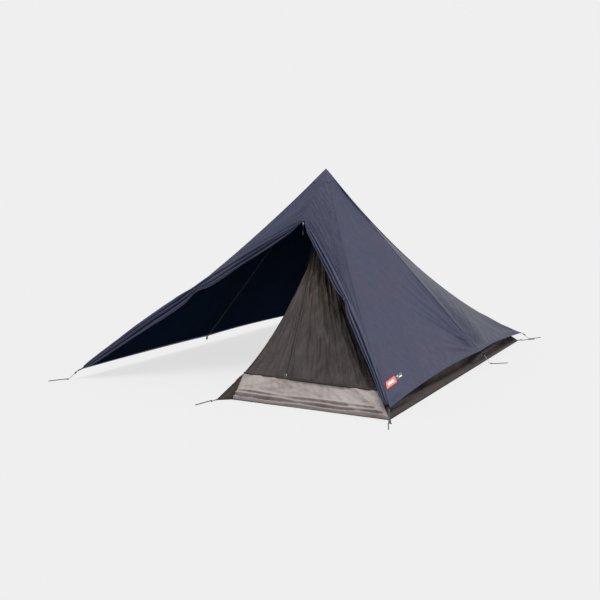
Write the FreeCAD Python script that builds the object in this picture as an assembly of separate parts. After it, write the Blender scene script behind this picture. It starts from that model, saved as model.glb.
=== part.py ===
"""A single-pole pyramid shelter: an open fly over a telescopic pole, with a half inner tent.

The origin is the middle of the pole's foot on the ground. +X points right as seen from
the open front, +Y points to the back and +Z points up. All lengths are millimetres.
Cloth is drawn as thin closed solids whose outer face is the true surface.
"""
import FreeCAD, Part
import math
import os

V = FreeCAD.Vector

# Fly: a rectangle on plan under one central point
APEX_HEIGHT = 1300.0
HALF_WIDTH = 1030.0
HALF_LENGTH = 1335.0
HEM_HEIGHT = 55.0
CLOTH = 3.0
SEAM_DROP = {"front_left": 75.0, "front_right": 90.0, "rear_right": 155.0, "rear_left": 155.0}
SIDE_SEAM_DROP = 8.0
SIDE_POINT_Y = 240.0
SIDE_POINT_HEIGHT = 92.0
SLACK_POINT = V(-1018, 45, 60)
HEM_RISE = {"right_front": 0.016, "right_rear": 0.012, "rear": 0.030, "left_rear": 0.012, "left_front": 0.006}
PEAK_SHARE = 0.035
DOOR_HEAD = V(20, -355, 960)
DOOR_BOW = 60.0

# Folded doors
ROLL_CLEARANCE = 6.0
RIGHT_ROLL = (7.0, 13.0)
LEFT_ROLL = (8.0, 20.0)

# Inner tent: bathtub floor, mesh walls
MESH = 2.0
APEX_PATCH = 6.0
FLOOR = 2.0
WALL_FOOT = FLOOR + 0.2
INNER_APEX = V(30, -73, 928)
INNER_DROP = {"front_left": 100.0, "front_right": 105.0, "rear_right": 140.0, "rear_left": 120.0}
FLOOR_PLAN = {
    "front_left": V(30, -1420, 0),
    "front_foot": V(101, -1363, 0),
    "front_right": V(1044, -1358, 0),
    "rear_right": V(1020, 1288, 0),
    "rear_left": V(60, 1290, 0),
}
TUB_TOP = {
    "front_left": V(122, -1269, 135),
    "front_right": V(925, -1225, 112),
    "rear_right": V(905, 1165, 105),
    "rear_left": V(105, 1190, 118),
}
ROWS = 8
DOOR_ZIP_START = PEAK_SHARE + (1 - PEAK_SHARE) / ROWS
DOOR_ZIP_FOOT = 0.325

# Pole
FOOT_RADIUS = 14.0
FOOT_HEIGHT = 26.0
SOLE = 9.0
LOWER_RADIUS = 10.0
LOWER_BORE = 9.0
LOWER_TOP = 720.0
UPPER_RADIUS = 8.4
UPPER_BORE = 7.4
UPPER_BOTTOM = 640.0
UPPER_TOP = 1258.0
BUSH_HEIGHT = 30.0
BUSH_RADIUS = 8.92
TIP_TOP = 1284.0
CLAMP_RADIUS = 14.0
CLAMP_HEIGHT = 30.0
LEVER_PIVOT = V(-20, 0, 0)
PIN_RADIUS = 2.0

# Webbing, cords and pegs
TOGGLE_CORD = 0.9
WEBBING = 1.6
WEBBING_WIDTH = 14.0
CORD = 2.6
PEG_LENGTH = 115.0
PEG_DIAMETER = 5.0
HOOK_RADIUS = 8.0
PATCH_LIFT = 2.5
PATCH_THICKNESS = 0.8
PATCHES = (
    ("side_patch_red", 0.919, 0.081, 137.0, 60.0),
    ("side_patch_black", 0.9175, 0.164, 100.0, 42.0),
)
CORNERS = ("front_left", "front_right", "rear_right", "rear_left")

SMALL = 1e-6
TOP = V(0, 0, APEX_HEIGHT)
CORE = V(0, 0, 300)
INNER_CORE = V(276, -40, 230)


def export(shape, node):
    """Write one sub-part and say how big it is."""
    solids = shape.Solids
    bad = [s for s in solids if not s.isValid() or not s.isClosed() or s.Volume <= 0]
    print(f"{node}: {len(solids)} solid(s), {shape.Volume:.0f} mm3{', BAD' if bad or not solids else ''}")
    shape.exportStep(f"parts/{node}.step")


def unit(v):
    return V(v).normalize()


def lerp(a, b, share):
    return a + (b - a) * share


# ---------------------------------------------------------------- cloth helpers

def closed(loops):
    """A solid with the given flat faces."""
    faces = [Part.Face(Part.makePolygon(list(loop) + [loop[0]])) for loop in loops]
    shell = Part.makeShell(faces)
    shell.sewShape()
    solid = Part.Solid(shell)
    if solid.Volume < 0:
        solid.reverse()
    return solid


def quad(a, b, c, d):
    """The triangles across a quad that may be bent, or that has shrunk to a point at one end."""
    both = [(a, b, c), (a, c, d)]
    return [t for t in both if (t[1] - t[0]).cross(t[2] - t[0]).Length > SMALL]


def behind(point, thickness, core):
    return point + unit(core - point) * thickness


def sheet(grid, thickness=CLOTH, core=CORE):
    """A thin closed solid: the grid is its outer face, and its inner face lies towards core."""
    inner = [[behind(p, thickness, core) for p in row] for row in grid]
    rows, cols = len(grid) - 1, len(grid[0]) - 1
    loops = []
    for i in range(rows):
        for j in range(cols):
            loops += quad(grid[i][j], grid[i][j + 1], grid[i + 1][j + 1], grid[i + 1][j])
            loops += quad(inner[i][j], inner[i + 1][j], inner[i + 1][j + 1], inner[i][j + 1])
    for j in range(cols):
        for i in (0, rows):
            loops += quad(grid[i][j], inner[i][j], inner[i][j + 1], grid[i][j + 1])
    for i in range(rows):
        for j in (0, cols):
            loops += quad(grid[i][j], inner[i][j], inner[i + 1][j], grid[i + 1][j])
    return closed(loops)


def seam(a, b, drop):
    """The line of a seam that hangs below its chord by drop at its middle."""
    def at(share):
        return lerp(a, b, share) - V(0, 0, 4 * drop * share * (1 - share))
    return at


def gore(left, right, start, rise=0.0, rows=ROWS, cols=6):
    """A grid between two seams that meet at the top, with an arched lower edge."""
    grid = []
    for i in range(rows + 1):
        down = i / rows
        row = []
        for j in range(cols + 1):
            across = j / cols
            share = start + (1 - start) * down * (1 - 4 * rise * across * (1 - across))
            row.append(lerp(left(share), right(share), across))
        grid.append(row)
    return grid


def peak(corners, top, thickness, core):
    """A small hollow point that closes the hole at the top of the gores. Its inside is the same shape, smaller."""
    shrink = 1 - thickness / (top - core).Length
    inner = [core + (p - core) * shrink for p in corners]
    inner_top = core + (top - core) * shrink
    loops = []
    for k in range(len(corners)):
        n = (k + 1) % len(corners)
        loops.append((corners[k], corners[n], top))
        loops.append((inner[n], inner[k], inner_top))
        loops.append((corners[k], inner[k], inner[n], corners[n]))
    return closed(loops)


def tapered_roll(path, radii, flatness=0.75, around=10):
    """A fat rolled bundle along a path, its section an ellipse in the plane across it."""
    rings = []
    for i, point in enumerate(path):
        ahead = path[min(i + 1, len(path) - 1)] - path[max(i - 1, 0)]
        side = unit(ahead.cross(V(0, -0.72, 0.69)))
        out = unit(side.cross(ahead))
        ring = []
        for k in range(around):
            turn = 2 * math.pi * k / around
            ring.append(point + side * (radii[i] * math.cos(turn)) + out * (radii[i] * flatness * math.sin(turn)))
        rings.append(ring)
    loops = []
    for a, b in zip(rings, rings[1:]):
        for k in range(around):
            n = (k + 1) % around
            loops += quad(a[k], a[n], b[n], b[k])
    for ring, middle in ((rings[0], path[0]), (rings[-1], path[-1])):
        for k in range(around):
            loops.append((middle, ring[k], ring[(k + 1) % around]))
    return closed(loops)


def bar(a, b, width, thickness, face):
    """A flat strip from a to b whose broad side faces the direction face."""
    along = unit(b - a)
    across = unit(along.cross(face)) * (width / 2)
    up = unit(across.cross(along)) * thickness
    low = [a - across, a + across, b + across, b - across]
    high = [p + up for p in low]
    sides = [(low[k], low[(k + 1) % 4], high[(k + 1) % 4], high[k]) for k in range(4)]
    return closed([tuple(low), tuple(reversed(high))] + sides)


def rod(a, b, radius):
    return Part.makeCylinder(radius, (b - a).Length, a, b - a)


# ---------------------------------------------------------------- fly

FLY_CORNER = {
    "front_left": V(-HALF_WIDTH, -HALF_LENGTH, HEM_HEIGHT),
    "front_right": V(HALF_WIDTH, -HALF_LENGTH, HEM_HEIGHT),
    "rear_right": V(HALF_WIDTH, HALF_LENGTH, HEM_HEIGHT),
    "rear_left": V(-HALF_WIDTH, HALF_LENGTH, HEM_HEIGHT),
}
SIDE_POINT = V(HALF_WIDTH, SIDE_POINT_Y, SIDE_POINT_HEIGHT)
FLY_SEAM = {name: seam(TOP, FLY_CORNER[name], SEAM_DROP[name]) for name in CORNERS}
RIGHT_SEAM = seam(TOP, SIDE_POINT, SIDE_SEAM_DROP)
LEFT_SEAM = seam(TOP, SLACK_POINT, SIDE_SEAM_DROP)


def front_gore(corner, side):
    """The part of the front between the middle line, one corner seam and the folded door."""
    ridge = FLY_SEAM[corner]
    middle_top = lerp(FLY_SEAM["front_left"](PEAK_SHARE), FLY_SEAM["front_right"](PEAK_SHARE), 0.5)
    rows, cols = ROWS, 8
    grid = []
    for i in range(rows + 1):
        down = i / rows
        inner_end = lerp(middle_top, DOOR_HEAD, down)
        outer_end = ridge(PEAK_SHARE + (1 - PEAK_SHARE) * down)
        bow = V(side * 0.62, 0.27, 0.27) * (DOOR_BOW * down * down)
        row = [lerp(inner_end, outer_end, j / cols) + bow * (4 * (j / cols) * (1 - j / cols))
               for j in range(cols + 1)]
        grid.append(row)
    return grid


def make_fly():
    walls = {
        "right_front": (FLY_SEAM["front_right"], RIGHT_SEAM),
        "right_rear": (RIGHT_SEAM, FLY_SEAM["rear_right"]),
        "rear": (FLY_SEAM["rear_right"], FLY_SEAM["rear_left"]),
        "left_rear": (FLY_SEAM["rear_left"], LEFT_SEAM),
        "left_front": (LEFT_SEAM, FLY_SEAM["front_left"]),
    }
    for wall, (left, right) in walls.items():
        export(sheet(gore(left, right, PEAK_SHARE, HEM_RISE[wall])), f"fly_{wall}_panel")
    export(sheet(front_gore("front_right", 1)), "fly_front_right_panel")
    export(sheet(front_gore("front_left", -1)), "fly_front_left_panel")
    ring = [s(PEAK_SHARE) for s in (FLY_SEAM["front_left"], FLY_SEAM["front_right"], RIGHT_SEAM,
                                    FLY_SEAM["rear_right"], FLY_SEAM["rear_left"], LEFT_SEAM)]
    export(peak(ring, TOP, CLOTH, CORE), "peak_cap")


def door_roll(corner, side, radii):
    """One door rolled up and tied below its edge, thin at both ends."""
    edge = front_gore(corner, side)[-1]
    first, last, steps = 0.05, 0.93, 14
    small, extra = radii
    path, sizes = [], []
    for k in range(steps + 1):
        share = first + (last - first) * k / steps
        place = share * (len(edge) - 1)
        low = min(int(place), len(edge) - 2)
        point = lerp(edge[low], edge[low + 1], place - low)
        radius = small + extra * math.sin(math.pi * share) ** 0.7
        away = V(-side * 0.45, -0.35, -0.82)
        path.append(point + unit(away) * (radius + ROLL_CLEARANCE))
        sizes.append(radius)
    return path, sizes


def make_doors():
    for corner, side, radii, node in (("front_right", 1, RIGHT_ROLL, "right_door_roll"),
                                      ("front_left", -1, LEFT_ROLL, "left_door_roll")):
        path, sizes = door_roll(corner, side, radii)
        export(tapered_roll(path, sizes), node)
        toggle(path, sizes, node.split("_")[0])


def toggle(path, sizes, name):
    """The tie that holds a rolled door: a webbing loop in front of it, and a short stick on a stub of cord."""
    at = len(path) // 2
    point, radius = path[at], sizes[at]
    along = unit(path[at + 1] - path[at - 1])
    out = unit(V(0, -0.72, 0.69))
    face = point + out * (0.75 * radius + 1.5)
    across = unit(along.cross(out))
    loop = bar(face - across * radius, face + across * radius, 6, 1.2, along.cross(across))
    middle = face + out * 5.5
    stub = rod(face, middle + out * 4.4, TOGGLE_CORD)
    export(loop.fuse(stub).removeSplitter(), f"{name}_toggle_loop")
    stick = rod(middle - along * 13, middle + along * 13, 3.0)
    export(stick.cut(rod(middle - out * 4, middle + out * 4, TOGGLE_CORD + 0.3)), f"{name}_toggle")
    print(name, "toggle hinge at", middle, "about", out)


def make_door_zip():
    """The slider parked at the head of the door, and its hanging pull."""
    head = DOOR_HEAD + V(0, -9, -12)
    body = Part.makeBox(9, 6, 14, head + V(-4.5, -3, -14))
    body = body.makeFillet(1.5, body.Edges)
    lug_hole = rod(head + V(-6, -5.6, -11), head + V(6, -5.6, -11), 1.2)
    lug = Part.makeBox(3, 4.5, 6, head + V(-1.5, -7.4, -14)).cut(lug_hole)
    export(body.fuse(lug).removeSplitter(), "door_zip_slider")
    pivot = head + V(0, -5.6, -11)
    pin = rod(pivot + V(-3.6, 0, 0), pivot + V(3.6, 0, 0), 0.9)
    cheeks = [Part.makeBox(1.4, 2.4, 10, pivot + V(x, -1.2, -8.8)) for x in (-3.6, 2.2)]
    bridge = Part.makeBox(7.2, 2.4, 2.4, pivot + V(-3.6, -1.2, -11))
    cord = Part.makeCylinder(1.1, 38, pivot + V(0, 0, -48), V(0, 0, 1))
    tab = Part.makeBox(8, 3, 20, pivot + V(-4, -1.5, -67))
    pull = pin.fuse(cheeks + [bridge, cord, tab]).removeSplitter()
    export(pull, "door_zip_pull")
    print("door pull hinge at", pivot)


# ---------------------------------------------------------------- inner tent

INNER_SEAM = {name: seam(INNER_APEX, TUB_TOP[name], INNER_DROP[name]) for name in CORNERS}
ZIP_TOP = INNER_SEAM["front_left"](DOOR_ZIP_START)
ZIP_FOOT = lerp(TUB_TOP["front_left"], TUB_TOP["front_right"], DOOR_ZIP_FOOT)


def zip_side(share):
    """The boundary between the mesh door and the fixed front mesh."""
    if share <= DOOR_ZIP_START:
        return INNER_SEAM["front_left"](share)
    return lerp(ZIP_TOP, ZIP_FOOT, (share - DOOR_ZIP_START) / (1 - DOOR_ZIP_START))


def inner_sheet(grid):
    return sheet(grid, MESH, INNER_CORE)


def band(foot_a, foot_b, top_a, top_b, cols=6, rows=2):
    """A low wall between two foot points and two top points."""
    lift = V(0, 0, WALL_FOOT)
    inward = [unit(INNER_CORE - p) for p in (foot_a, foot_b)]
    foot_a, foot_b = [p + V(d.x, d.y, 0) * 3 + lift for p, d in zip((foot_a, foot_b), inward)]
    return [[lerp(lerp(top_a, foot_a, i / rows), lerp(top_b, foot_b, i / rows), j / cols)
             for j in range(cols + 1)] for i in range(rows + 1)]


def make_inner():
    plan = list(FLOOR_PLAN.values())
    floor = Part.Face(Part.makePolygon(plan + [plan[0]])).extrude(V(0, 0, FLOOR))
    export(floor, "groundsheet")
    bands = {
        "tub_front_wall": ("front_foot", "front_right", "front_left", "front_right"),
        "tub_right_wall": ("front_right", "rear_right", "front_right", "rear_right"),
        "tub_rear_wall": ("rear_right", "rear_left", "rear_right", "rear_left"),
        "tub_left_wall": ("rear_left", "front_left", "rear_left", "front_left"),
    }
    for node, (foot_a, foot_b, top_a, top_b) in bands.items():
        grid = band(FLOOR_PLAN[foot_a], FLOOR_PLAN[foot_b], TUB_TOP[top_a], TUB_TOP[top_b])
        export(inner_sheet(grid), node)
    gusset = band(FLOOR_PLAN["front_left"], FLOOR_PLAN["front_foot"],
                  TUB_TOP["front_left"], TUB_TOP["front_left"], cols=1, rows=1)
    corners = [gusset[0][0], gusset[1][1], gusset[1][0]]
    inner = [behind(p, MESH, INNER_CORE) for p in corners]
    loops = [tuple(corners), tuple(reversed(inner))]
    for k in range(3):
        n = (k + 1) % 3
        loops += quad(corners[k], inner[k], inner[n], corners[n])
    export(closed(loops), "tub_corner_gusset")
    walls = {
        "mesh_front_panel": (zip_side, INNER_SEAM["front_right"]),
        "mesh_right_wall": (INNER_SEAM["front_right"], INNER_SEAM["rear_right"]),
        "mesh_rear_wall": (INNER_SEAM["rear_right"], INNER_SEAM["rear_left"]),
        "mesh_left_wall": (INNER_SEAM["rear_left"], INNER_SEAM["front_left"]),
    }
    for node, (left, right) in walls.items():
        export(inner_sheet(gore(left, right, PEAK_SHARE)), node)
    export(inner_sheet(gore(INNER_SEAM["front_left"], zip_side, DOOR_ZIP_START, rows=ROWS - 1, cols=3)), "mesh_door")
    ring = [INNER_SEAM[name](PEAK_SHARE) for name in CORNERS]
    export(peak(ring, INNER_APEX, APEX_PATCH, INNER_CORE), "inner_apex_patch")


def make_inner_zip():
    """The coil down the edge of the mesh door, with its end stop, slider and pull."""
    along = unit(ZIP_TOP - ZIP_FOOT)
    face = unit(along.cross(V(1, 0, 0)))
    if face.y > 0:
        face = face * -1
    lift = face * 2.6
    length = (ZIP_TOP - ZIP_FOOT).Length
    start = ZIP_FOOT + lift
    export(bar(start + along * 4, start + along * (length - 20), 8, 1.6, face), "inner_zip_coil")
    low = start + face * 2.2
    export(bar(low + along * 4, low + along * 9, 8, 2.5, face), "inner_zip_stop")
    body = bar(low + along * 12, low + along * 26, 10, 4, face)
    across = unit(along.cross(face))
    pivot = low + face * 6.4 + along * 19
    cheeks = [bar(pivot - face * 2.8 + across * x - along * 1.6, pivot - face * 2.8 + across * x + along * 1.6,
                  1.2, 4.0, face) for x in (-3.9, 3.9)]
    pin = rod(pivot - across * 4.2, pivot + across * 4.2, 0.8)
    export(body.fuse(cheeks + [pin]).removeSplitter(), "inner_zip_slider")
    eye = rod(pivot - across * 2.9, pivot + across * 2.9, 2.0)
    tongue = bar(pivot - face * 0.75, pivot - along * 32 - face * 0.75, 5.8, 1.5, face)
    bore = rod(pivot - across * 4, pivot + across * 4, 1.0)
    export(eye.fuse(tongue).cut(bore).removeSplitter(), "inner_zip_pull")
    print("inner zip runs along", along, "faces", face, "slider at", low + along * 12, "pull at", pivot,
          "about", across, "length", length)


# ---------------------------------------------------------------- pole

def make_pole():
    z = V(0, 0, 1)
    foot = Part.makeCylinder(FOOT_RADIUS, FOOT_HEIGHT)
    foot = foot.makeFillet(2, [e for e in foot.Edges if e.BoundBox.ZMax > FOOT_HEIGHT - 1
                               and e.BoundBox.ZLength < 1])
    foot = foot.cut(Part.makeCylinder(LOWER_RADIUS, FOOT_HEIGHT, V(0, 0, SOLE)))
    export(foot, "pole_foot")

    lower = rod(V(0, 0, SOLE), V(0, 0, LOWER_TOP), LOWER_RADIUS)
    export(lower.cut(rod(V(0, 0, SOLE), V(0, 0, LOWER_TOP), LOWER_BORE)), "pole_lower_tube")

    upper = rod(V(0, 0, UPPER_BOTTOM), V(0, 0, UPPER_TOP), UPPER_RADIUS)
    export(upper.cut(rod(V(0, 0, UPPER_BOTTOM), V(0, 0, UPPER_TOP), UPPER_BORE)), "pole_upper_tube")

    bush_top = V(0, 0, UPPER_BOTTOM)
    bush = rod(V(0, 0, UPPER_BOTTOM - 6), bush_top, BUSH_RADIUS)
    bush = bush.fuse(rod(bush_top, V(0, 0, UPPER_BOTTOM + BUSH_HEIGHT), UPPER_BORE)).removeSplitter()
    export(bush, "pole_guide_bush")

    tip = rod(V(0, 0, UPPER_TOP - 22), V(0, 0, UPPER_TOP), UPPER_BORE)
    tip = tip.fuse([rod(V(0, 0, UPPER_TOP), V(0, 0, UPPER_TOP + 4), UPPER_RADIUS),
                    rod(V(0, 0, UPPER_TOP + 4), V(0, 0, TIP_TOP - 4), 4.0),
                    Part.makeSphere(4.0, V(0, 0, TIP_TOP - 4))]).removeSplitter()
    export(tip, "pole_tip")

    base = LOWER_TOP - 16
    clamp = rod(V(0, 0, base), V(0, 0, base + CLAMP_HEIGHT), CLAMP_RADIUS)
    lug_low = Part.makeBox(14, 10, 4, V(-25, -5, base))
    lug_high = Part.makeBox(14, 10, 4, V(-25, -5, base + CLAMP_HEIGHT - 4))
    clamp = clamp.fuse([lug_low, lug_high])
    clamp = clamp.cut(rod(V(0, 0, base), V(0, 0, LOWER_TOP), LOWER_RADIUS))
    clamp = clamp.cut(rod(V(0, 0, LOWER_TOP), V(0, 0, base + CLAMP_HEIGHT), UPPER_RADIUS + 0.35))
    pivot = LEVER_PIVOT + z * base
    clamp = clamp.cut(rod(pivot, pivot + z * CLAMP_HEIGHT, PIN_RADIUS)).removeSplitter()
    export(clamp, "pole_clamp")
    export(rod(pivot - z, pivot + z * (CLAMP_HEIGHT + 1), PIN_RADIUS), "lever_pin")

    low, high = base + 4.5, base + CLAMP_HEIGHT - 4.5
    ring = rod(V(0, 0, low), V(0, 0, high), 17.4).cut(rod(V(0, 0, low), V(0, 0, high), 14.8))
    keep = Part.makeBox(40, 20, 40, V(-22, 0, base - 5))
    arm = ring.common(keep)
    hub = rod(V(LEVER_PIVOT.x, 0, low), V(LEVER_PIVOT.x, 0, high), 4.6)
    lever = arm.fuse([hub, Part.makeBox(8, 2.6, high - low, V(14.8, 0, low))])
    lever = lever.cut(rod(V(LEVER_PIVOT.x, 0, low), V(LEVER_PIVOT.x, 0, high), PIN_RADIUS + 0.08))
    lever = lever.cut(rod(V(0, 0, low), V(0, 0, high), 14.8)).removeSplitter()
    export(lever, "lock_lever")


def make_hanger():
    """The strap from the peak that the inner tent hangs from, and its hook."""
    top = V(13, -16, 1262)
    hook_top = INNER_APEX + V(-1, 3, 36)
    out = V(0.4, -1, 0)
    export(bar(top, hook_top, 8, 1.4, out), "inner_hang_strap")
    along = unit(INNER_APEX + V(0, 0, 2) - hook_top)
    export(bar(hook_top + along, hook_top + along * 30, 11, 4, out), "inner_hook")


# ---------------------------------------------------------------- stake-out points

def peg(head, direction):
    """A bent wire peg lying on the ground, its hook at head and its point further out."""
    radius = PEG_DIAMETER / 2
    lift = V(0, 0, radius)
    along = unit(V(direction.x, direction.y, 0))
    side = V(-along.y, along.x, 0)
    centre = head + lift + along * HOOK_RADIUS
    shaft_start = centre - side * HOOK_RADIUS
    shaft_end = shaft_start + along * (PEG_LENGTH - 3 * radius)
    back = centre - along * HOOK_RADIUS
    tip = centre + side * HOOK_RADIUS + along * 4
    arc = Part.Arc(shaft_start, back, centre + side * HOOK_RADIUS).toShape()
    line = Part.LineSegment(shaft_end, shaft_start).toShape()
    end = Part.LineSegment(centre + side * HOOK_RADIUS, tip).toShape()
    path = Part.Wire([line, arc, end])
    profile = Part.Wire([Part.makeCircle(radius, shaft_end, along)])
    body = path.makePipeShell([profile], True, False)
    point = Part.makeCone(radius, 0.6, 4 * radius, shaft_end, along)
    return body.fuse(point).removeSplitter()


# Each stake-out: the point on the tent, its peg's hook, and the direction the peg lies in
STAKES = {
    "front_left": (FLY_CORNER["front_left"], V(-1068, -1402, 0), V(-0.5, -0.87, 0)),
    "right": (SIDE_POINT, V(1088, 300, 0), V(0.75, 0.66, 0)),
    "rear_right": (FLY_CORNER["rear_right"], V(1076, 1402, 0), V(0.50, 0.87, 0)),
    "rear_left": (FLY_CORNER["rear_left"], V(-1084, 1404, 0), V(-0.60, 0.80, 0)),
}
# Each inner corner: the direction its webbing tab and peg lie in, and the tab's length
INNER_STAKES = {
    "front_left": (V(-0.16, -1, 0), 30.0),
    "front_right": (V(0.40, -0.92, 0), 60.0),
    "rear_right": (V(0.62, 0.78, 0), 25.0),
    "rear_left": (V(-0.45, 0.89, 0), 40.0),
}


def make_stakes():
    pegs, loops = [], []
    for name, (point, hook, direction) in STAKES.items():
        away = unit(V(hook.x - point.x, hook.y - point.y, 0))
        start = point + away * 2 - V(0, 0, 2)
        loop_end = start + away * 16 - V(0, 0, 6)
        loops.append(bar(start, loop_end, 10, 1.4, V(0, 0, 1)))
        cord_start = loop_end + away * 0.4
        cord_end = hook + V(0, 0, PEG_DIAMETER / 2 + 1) - away * 3.4
        export(rod(cord_start, cord_end, CORD / 2), f"guyline_{name}")
        run = unit(cord_end - cord_start)
        middle = cord_start + run * 16
        side = unit(run.cross(V(0, 0, 1)))
        lock = bar(middle - run * 8 - run.cross(side) * 2.6, middle + run * 8 - run.cross(side) * 2.6, 12, 5.2,
                   run.cross(side))
        lock = lock.cut(rod(middle - run * 20, middle + run * 20, CORD / 2 + 0.35))
        export(lock, f"line_lock_{name}")
        print("line lock", name, "slides along", run, "cord length", (cord_end - cord_start).Length,
              "from", cord_start, "to", cord_end)
        pegs.append(peg(hook, direction))
    for name, (direction, tab) in INNER_STAKES.items():
        corner = FLOOR_PLAN[name] + V(0, 0, 0.2)
        away = unit(direction)
        loops.append(bar(corner + away * 0.6, corner + away * tab, WEBBING_WIDTH, WEBBING, V(0, 0, 1)))
        pegs.append(peg(FLOOR_PLAN[name] + away * (tab + 3.5), direction))
    corner, foot = FLY_CORNER["front_right"], FLOOR_PLAN["front_right"]
    direction, tab = INNER_STAKES["front_right"]
    away = unit(direction)
    start = corner + away * 8 - V(0, 0, 3)
    loops.append(bar(start, foot + away * (tab + 4) + V(0, 0, 10), 10, 1.4, away))
    slack = SLACK_POINT + V(-3, 0, -2)
    loops.append(bar(slack, slack - V(4, 0, 24), 10, 1.4, V(-1, 0, 0)))
    export(Part.makeCompound(pegs), "ground_pegs")
    export(Part.makeCompound(loops), "webbing_loops")


def on_right_panel(down, across):
    return lerp(FLY_SEAM["front_right"](down), RIGHT_SEAM(down), across)


def make_patches():
    """Two plain woven patches sewn end to end near the foot of the right front panel."""
    for node, down, across, length, width in PATCHES:
        middle = on_right_panel(down, across)
        along = unit(on_right_panel(down, across + 0.03) - middle)
        slope = unit(on_right_panel(down + 0.02, across) - middle)
        out = unit(along.cross(slope)) * -1
        middle = middle + out * PATCH_LIFT
        export(bar(middle - along * (length / 2), middle + along * (length / 2), width, PATCH_THICKNESS, out), node)


def main():
    os.makedirs("parts", exist_ok=True)
    make_fly()
    make_doors()
    make_door_zip()
    make_inner()
    make_inner_zip()
    make_pole()
    make_hanger()
    make_stakes()
    make_patches()


main()
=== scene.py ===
# %% [markdown]
# # A single-pole pyramid tent
# The tent is a coated cloth fly over one telescopic pole, with its front doors rolled open, and a
# half-width inner tent of mesh on a bathtub floor. The metal and plastic parts come from a fixed
# frame that was designed elsewhere. This lesson adds the cloth, the cords and all the finishes.

# %% Load the frame
import math

import bmesh
import bpy
from mathutils import Matrix, Vector, noise


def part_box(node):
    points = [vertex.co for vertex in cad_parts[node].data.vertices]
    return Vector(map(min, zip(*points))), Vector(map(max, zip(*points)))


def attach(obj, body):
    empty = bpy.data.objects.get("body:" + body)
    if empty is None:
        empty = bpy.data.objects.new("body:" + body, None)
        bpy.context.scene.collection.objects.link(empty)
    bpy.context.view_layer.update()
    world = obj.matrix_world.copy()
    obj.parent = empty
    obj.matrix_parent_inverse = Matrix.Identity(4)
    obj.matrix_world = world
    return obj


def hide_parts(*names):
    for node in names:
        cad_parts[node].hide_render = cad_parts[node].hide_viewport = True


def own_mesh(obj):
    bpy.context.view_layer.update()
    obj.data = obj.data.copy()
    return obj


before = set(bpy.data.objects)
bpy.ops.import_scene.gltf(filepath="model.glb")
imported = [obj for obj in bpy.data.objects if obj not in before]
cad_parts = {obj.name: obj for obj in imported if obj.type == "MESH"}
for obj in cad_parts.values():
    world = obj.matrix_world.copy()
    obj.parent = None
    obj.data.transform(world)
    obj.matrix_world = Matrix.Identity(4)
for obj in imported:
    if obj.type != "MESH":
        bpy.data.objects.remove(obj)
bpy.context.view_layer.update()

# %% [markdown]
# ## The lines that the cloth hangs between
# A tent is cut so that every seam is a shallow curve. The fly has six seams from its peak: four to
# the corners and two to the middles of the long sides. Their ends come from the frame's own boxes,
# and each seam hangs below its chord by a drop that is largest at its middle.

# %% Driving points and seams
UP = Vector((0, 0, 1))
panel_low, panel_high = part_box("fly_right_front_panel")
rear_low, rear_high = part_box("fly_rear_panel")
left_low, left_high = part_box("fly_left_front_panel")
PEAK = Vector((0, 0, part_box("peak_cap")[1].z))
HEM_HEIGHT = 0.055
CORNER = {
    "front_left": Vector((left_low.x, left_low.y, HEM_HEIGHT)),
    "front_right": Vector((panel_high.x, panel_low.y, HEM_HEIGHT)),
    "rear_right": Vector((rear_high.x, rear_high.y, HEM_HEIGHT)),
    "rear_left": Vector((rear_low.x, rear_high.y, HEM_HEIGHT)),
}
DROP = {"front_left": 0.075, "front_right": 0.090, "rear_right": 0.155, "rear_left": 0.155}
SIDE_RIGHT = Vector((panel_high.x, 0.240, 0.092))
SIDE_LEFT = Vector((-1.018, 0.045, 0.060))
SIDE_DROP = 0.008
HEM_RISE = {
    "right_front": 0.016, "right_rear": 0.012, "rear": 0.030, "left_rear": 0.012, "left_front": 0.006,
}
DOOR_HEAD = Vector((0.020, -0.355, 0.960))
DOOR_BOW = 0.060


def seam(top, foot, drop):
    """A curve from top to foot: at(0) is the top, and drop is how far its middle hangs down."""
    def at(share):
        return top.lerp(foot, share) - UP * (4 * drop * share * (1 - share))
    return at


FLY = {name: seam(PEAK, CORNER[name], DROP[name]) for name in CORNER}
FLY["right"] = seam(PEAK, SIDE_RIGHT, SIDE_DROP)
FLY["left"] = seam(PEAK, SIDE_LEFT, SIDE_DROP)
print("seams", sorted(FLY))

# %% [markdown]
# The inner tent has its own four seams, from its peak beside the pole to the corners of the
# bathtub. Its floor is a plain rectangle with one corner pulled out to a peg.

# %% The inner tent's points
INNER_PEAK = Vector((0.030, -0.073, 0.928))
TUB_TOP = {
    "front_left": Vector((0.122, -1.269, 0.135)),
    "front_right": Vector((0.925, -1.225, 0.112)),
    "rear_right": Vector((0.905, 1.165, 0.105)),
    "rear_left": Vector((0.105, 1.190, 0.118)),
}
FOOT = {
    "front_left": Vector((0.030, -1.420, 0)),
    "front_foot": Vector((0.101, -1.363, 0)),
    "front_right": Vector((1.044, -1.358, 0)),
    "rear_right": Vector((1.020, 1.288, 0)),
    "rear_left": Vector((0.060, 1.290, 0)),
}
INNER_DROP = {"front_left": 0.100, "front_right": 0.105, "rear_right": 0.140, "rear_left": 0.120}
INNER = {name: seam(INNER_PEAK, TUB_TOP[name], INNER_DROP[name]) for name in TUB_TOP}
PEAK_SHARE = 0.035
ZIP_SHARE = PEAK_SHARE + (1 - PEAK_SHARE) / 8
ZIP_TOP = INNER["front_left"](ZIP_SHARE)
ZIP_FOOT = TUB_TOP["front_left"].lerp(TUB_TOP["front_right"], 0.325)
FLOOR_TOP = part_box("groundsheet")[1].z


def zip_side(share):
    """The edge of the mesh door, which leaves the front left seam a little below the peak."""
    if share <= ZIP_SHARE:
        return INNER["front_left"](share)
    return ZIP_TOP.lerp(ZIP_FOOT, (share - ZIP_SHARE) / (1 - ZIP_SHARE))


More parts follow.
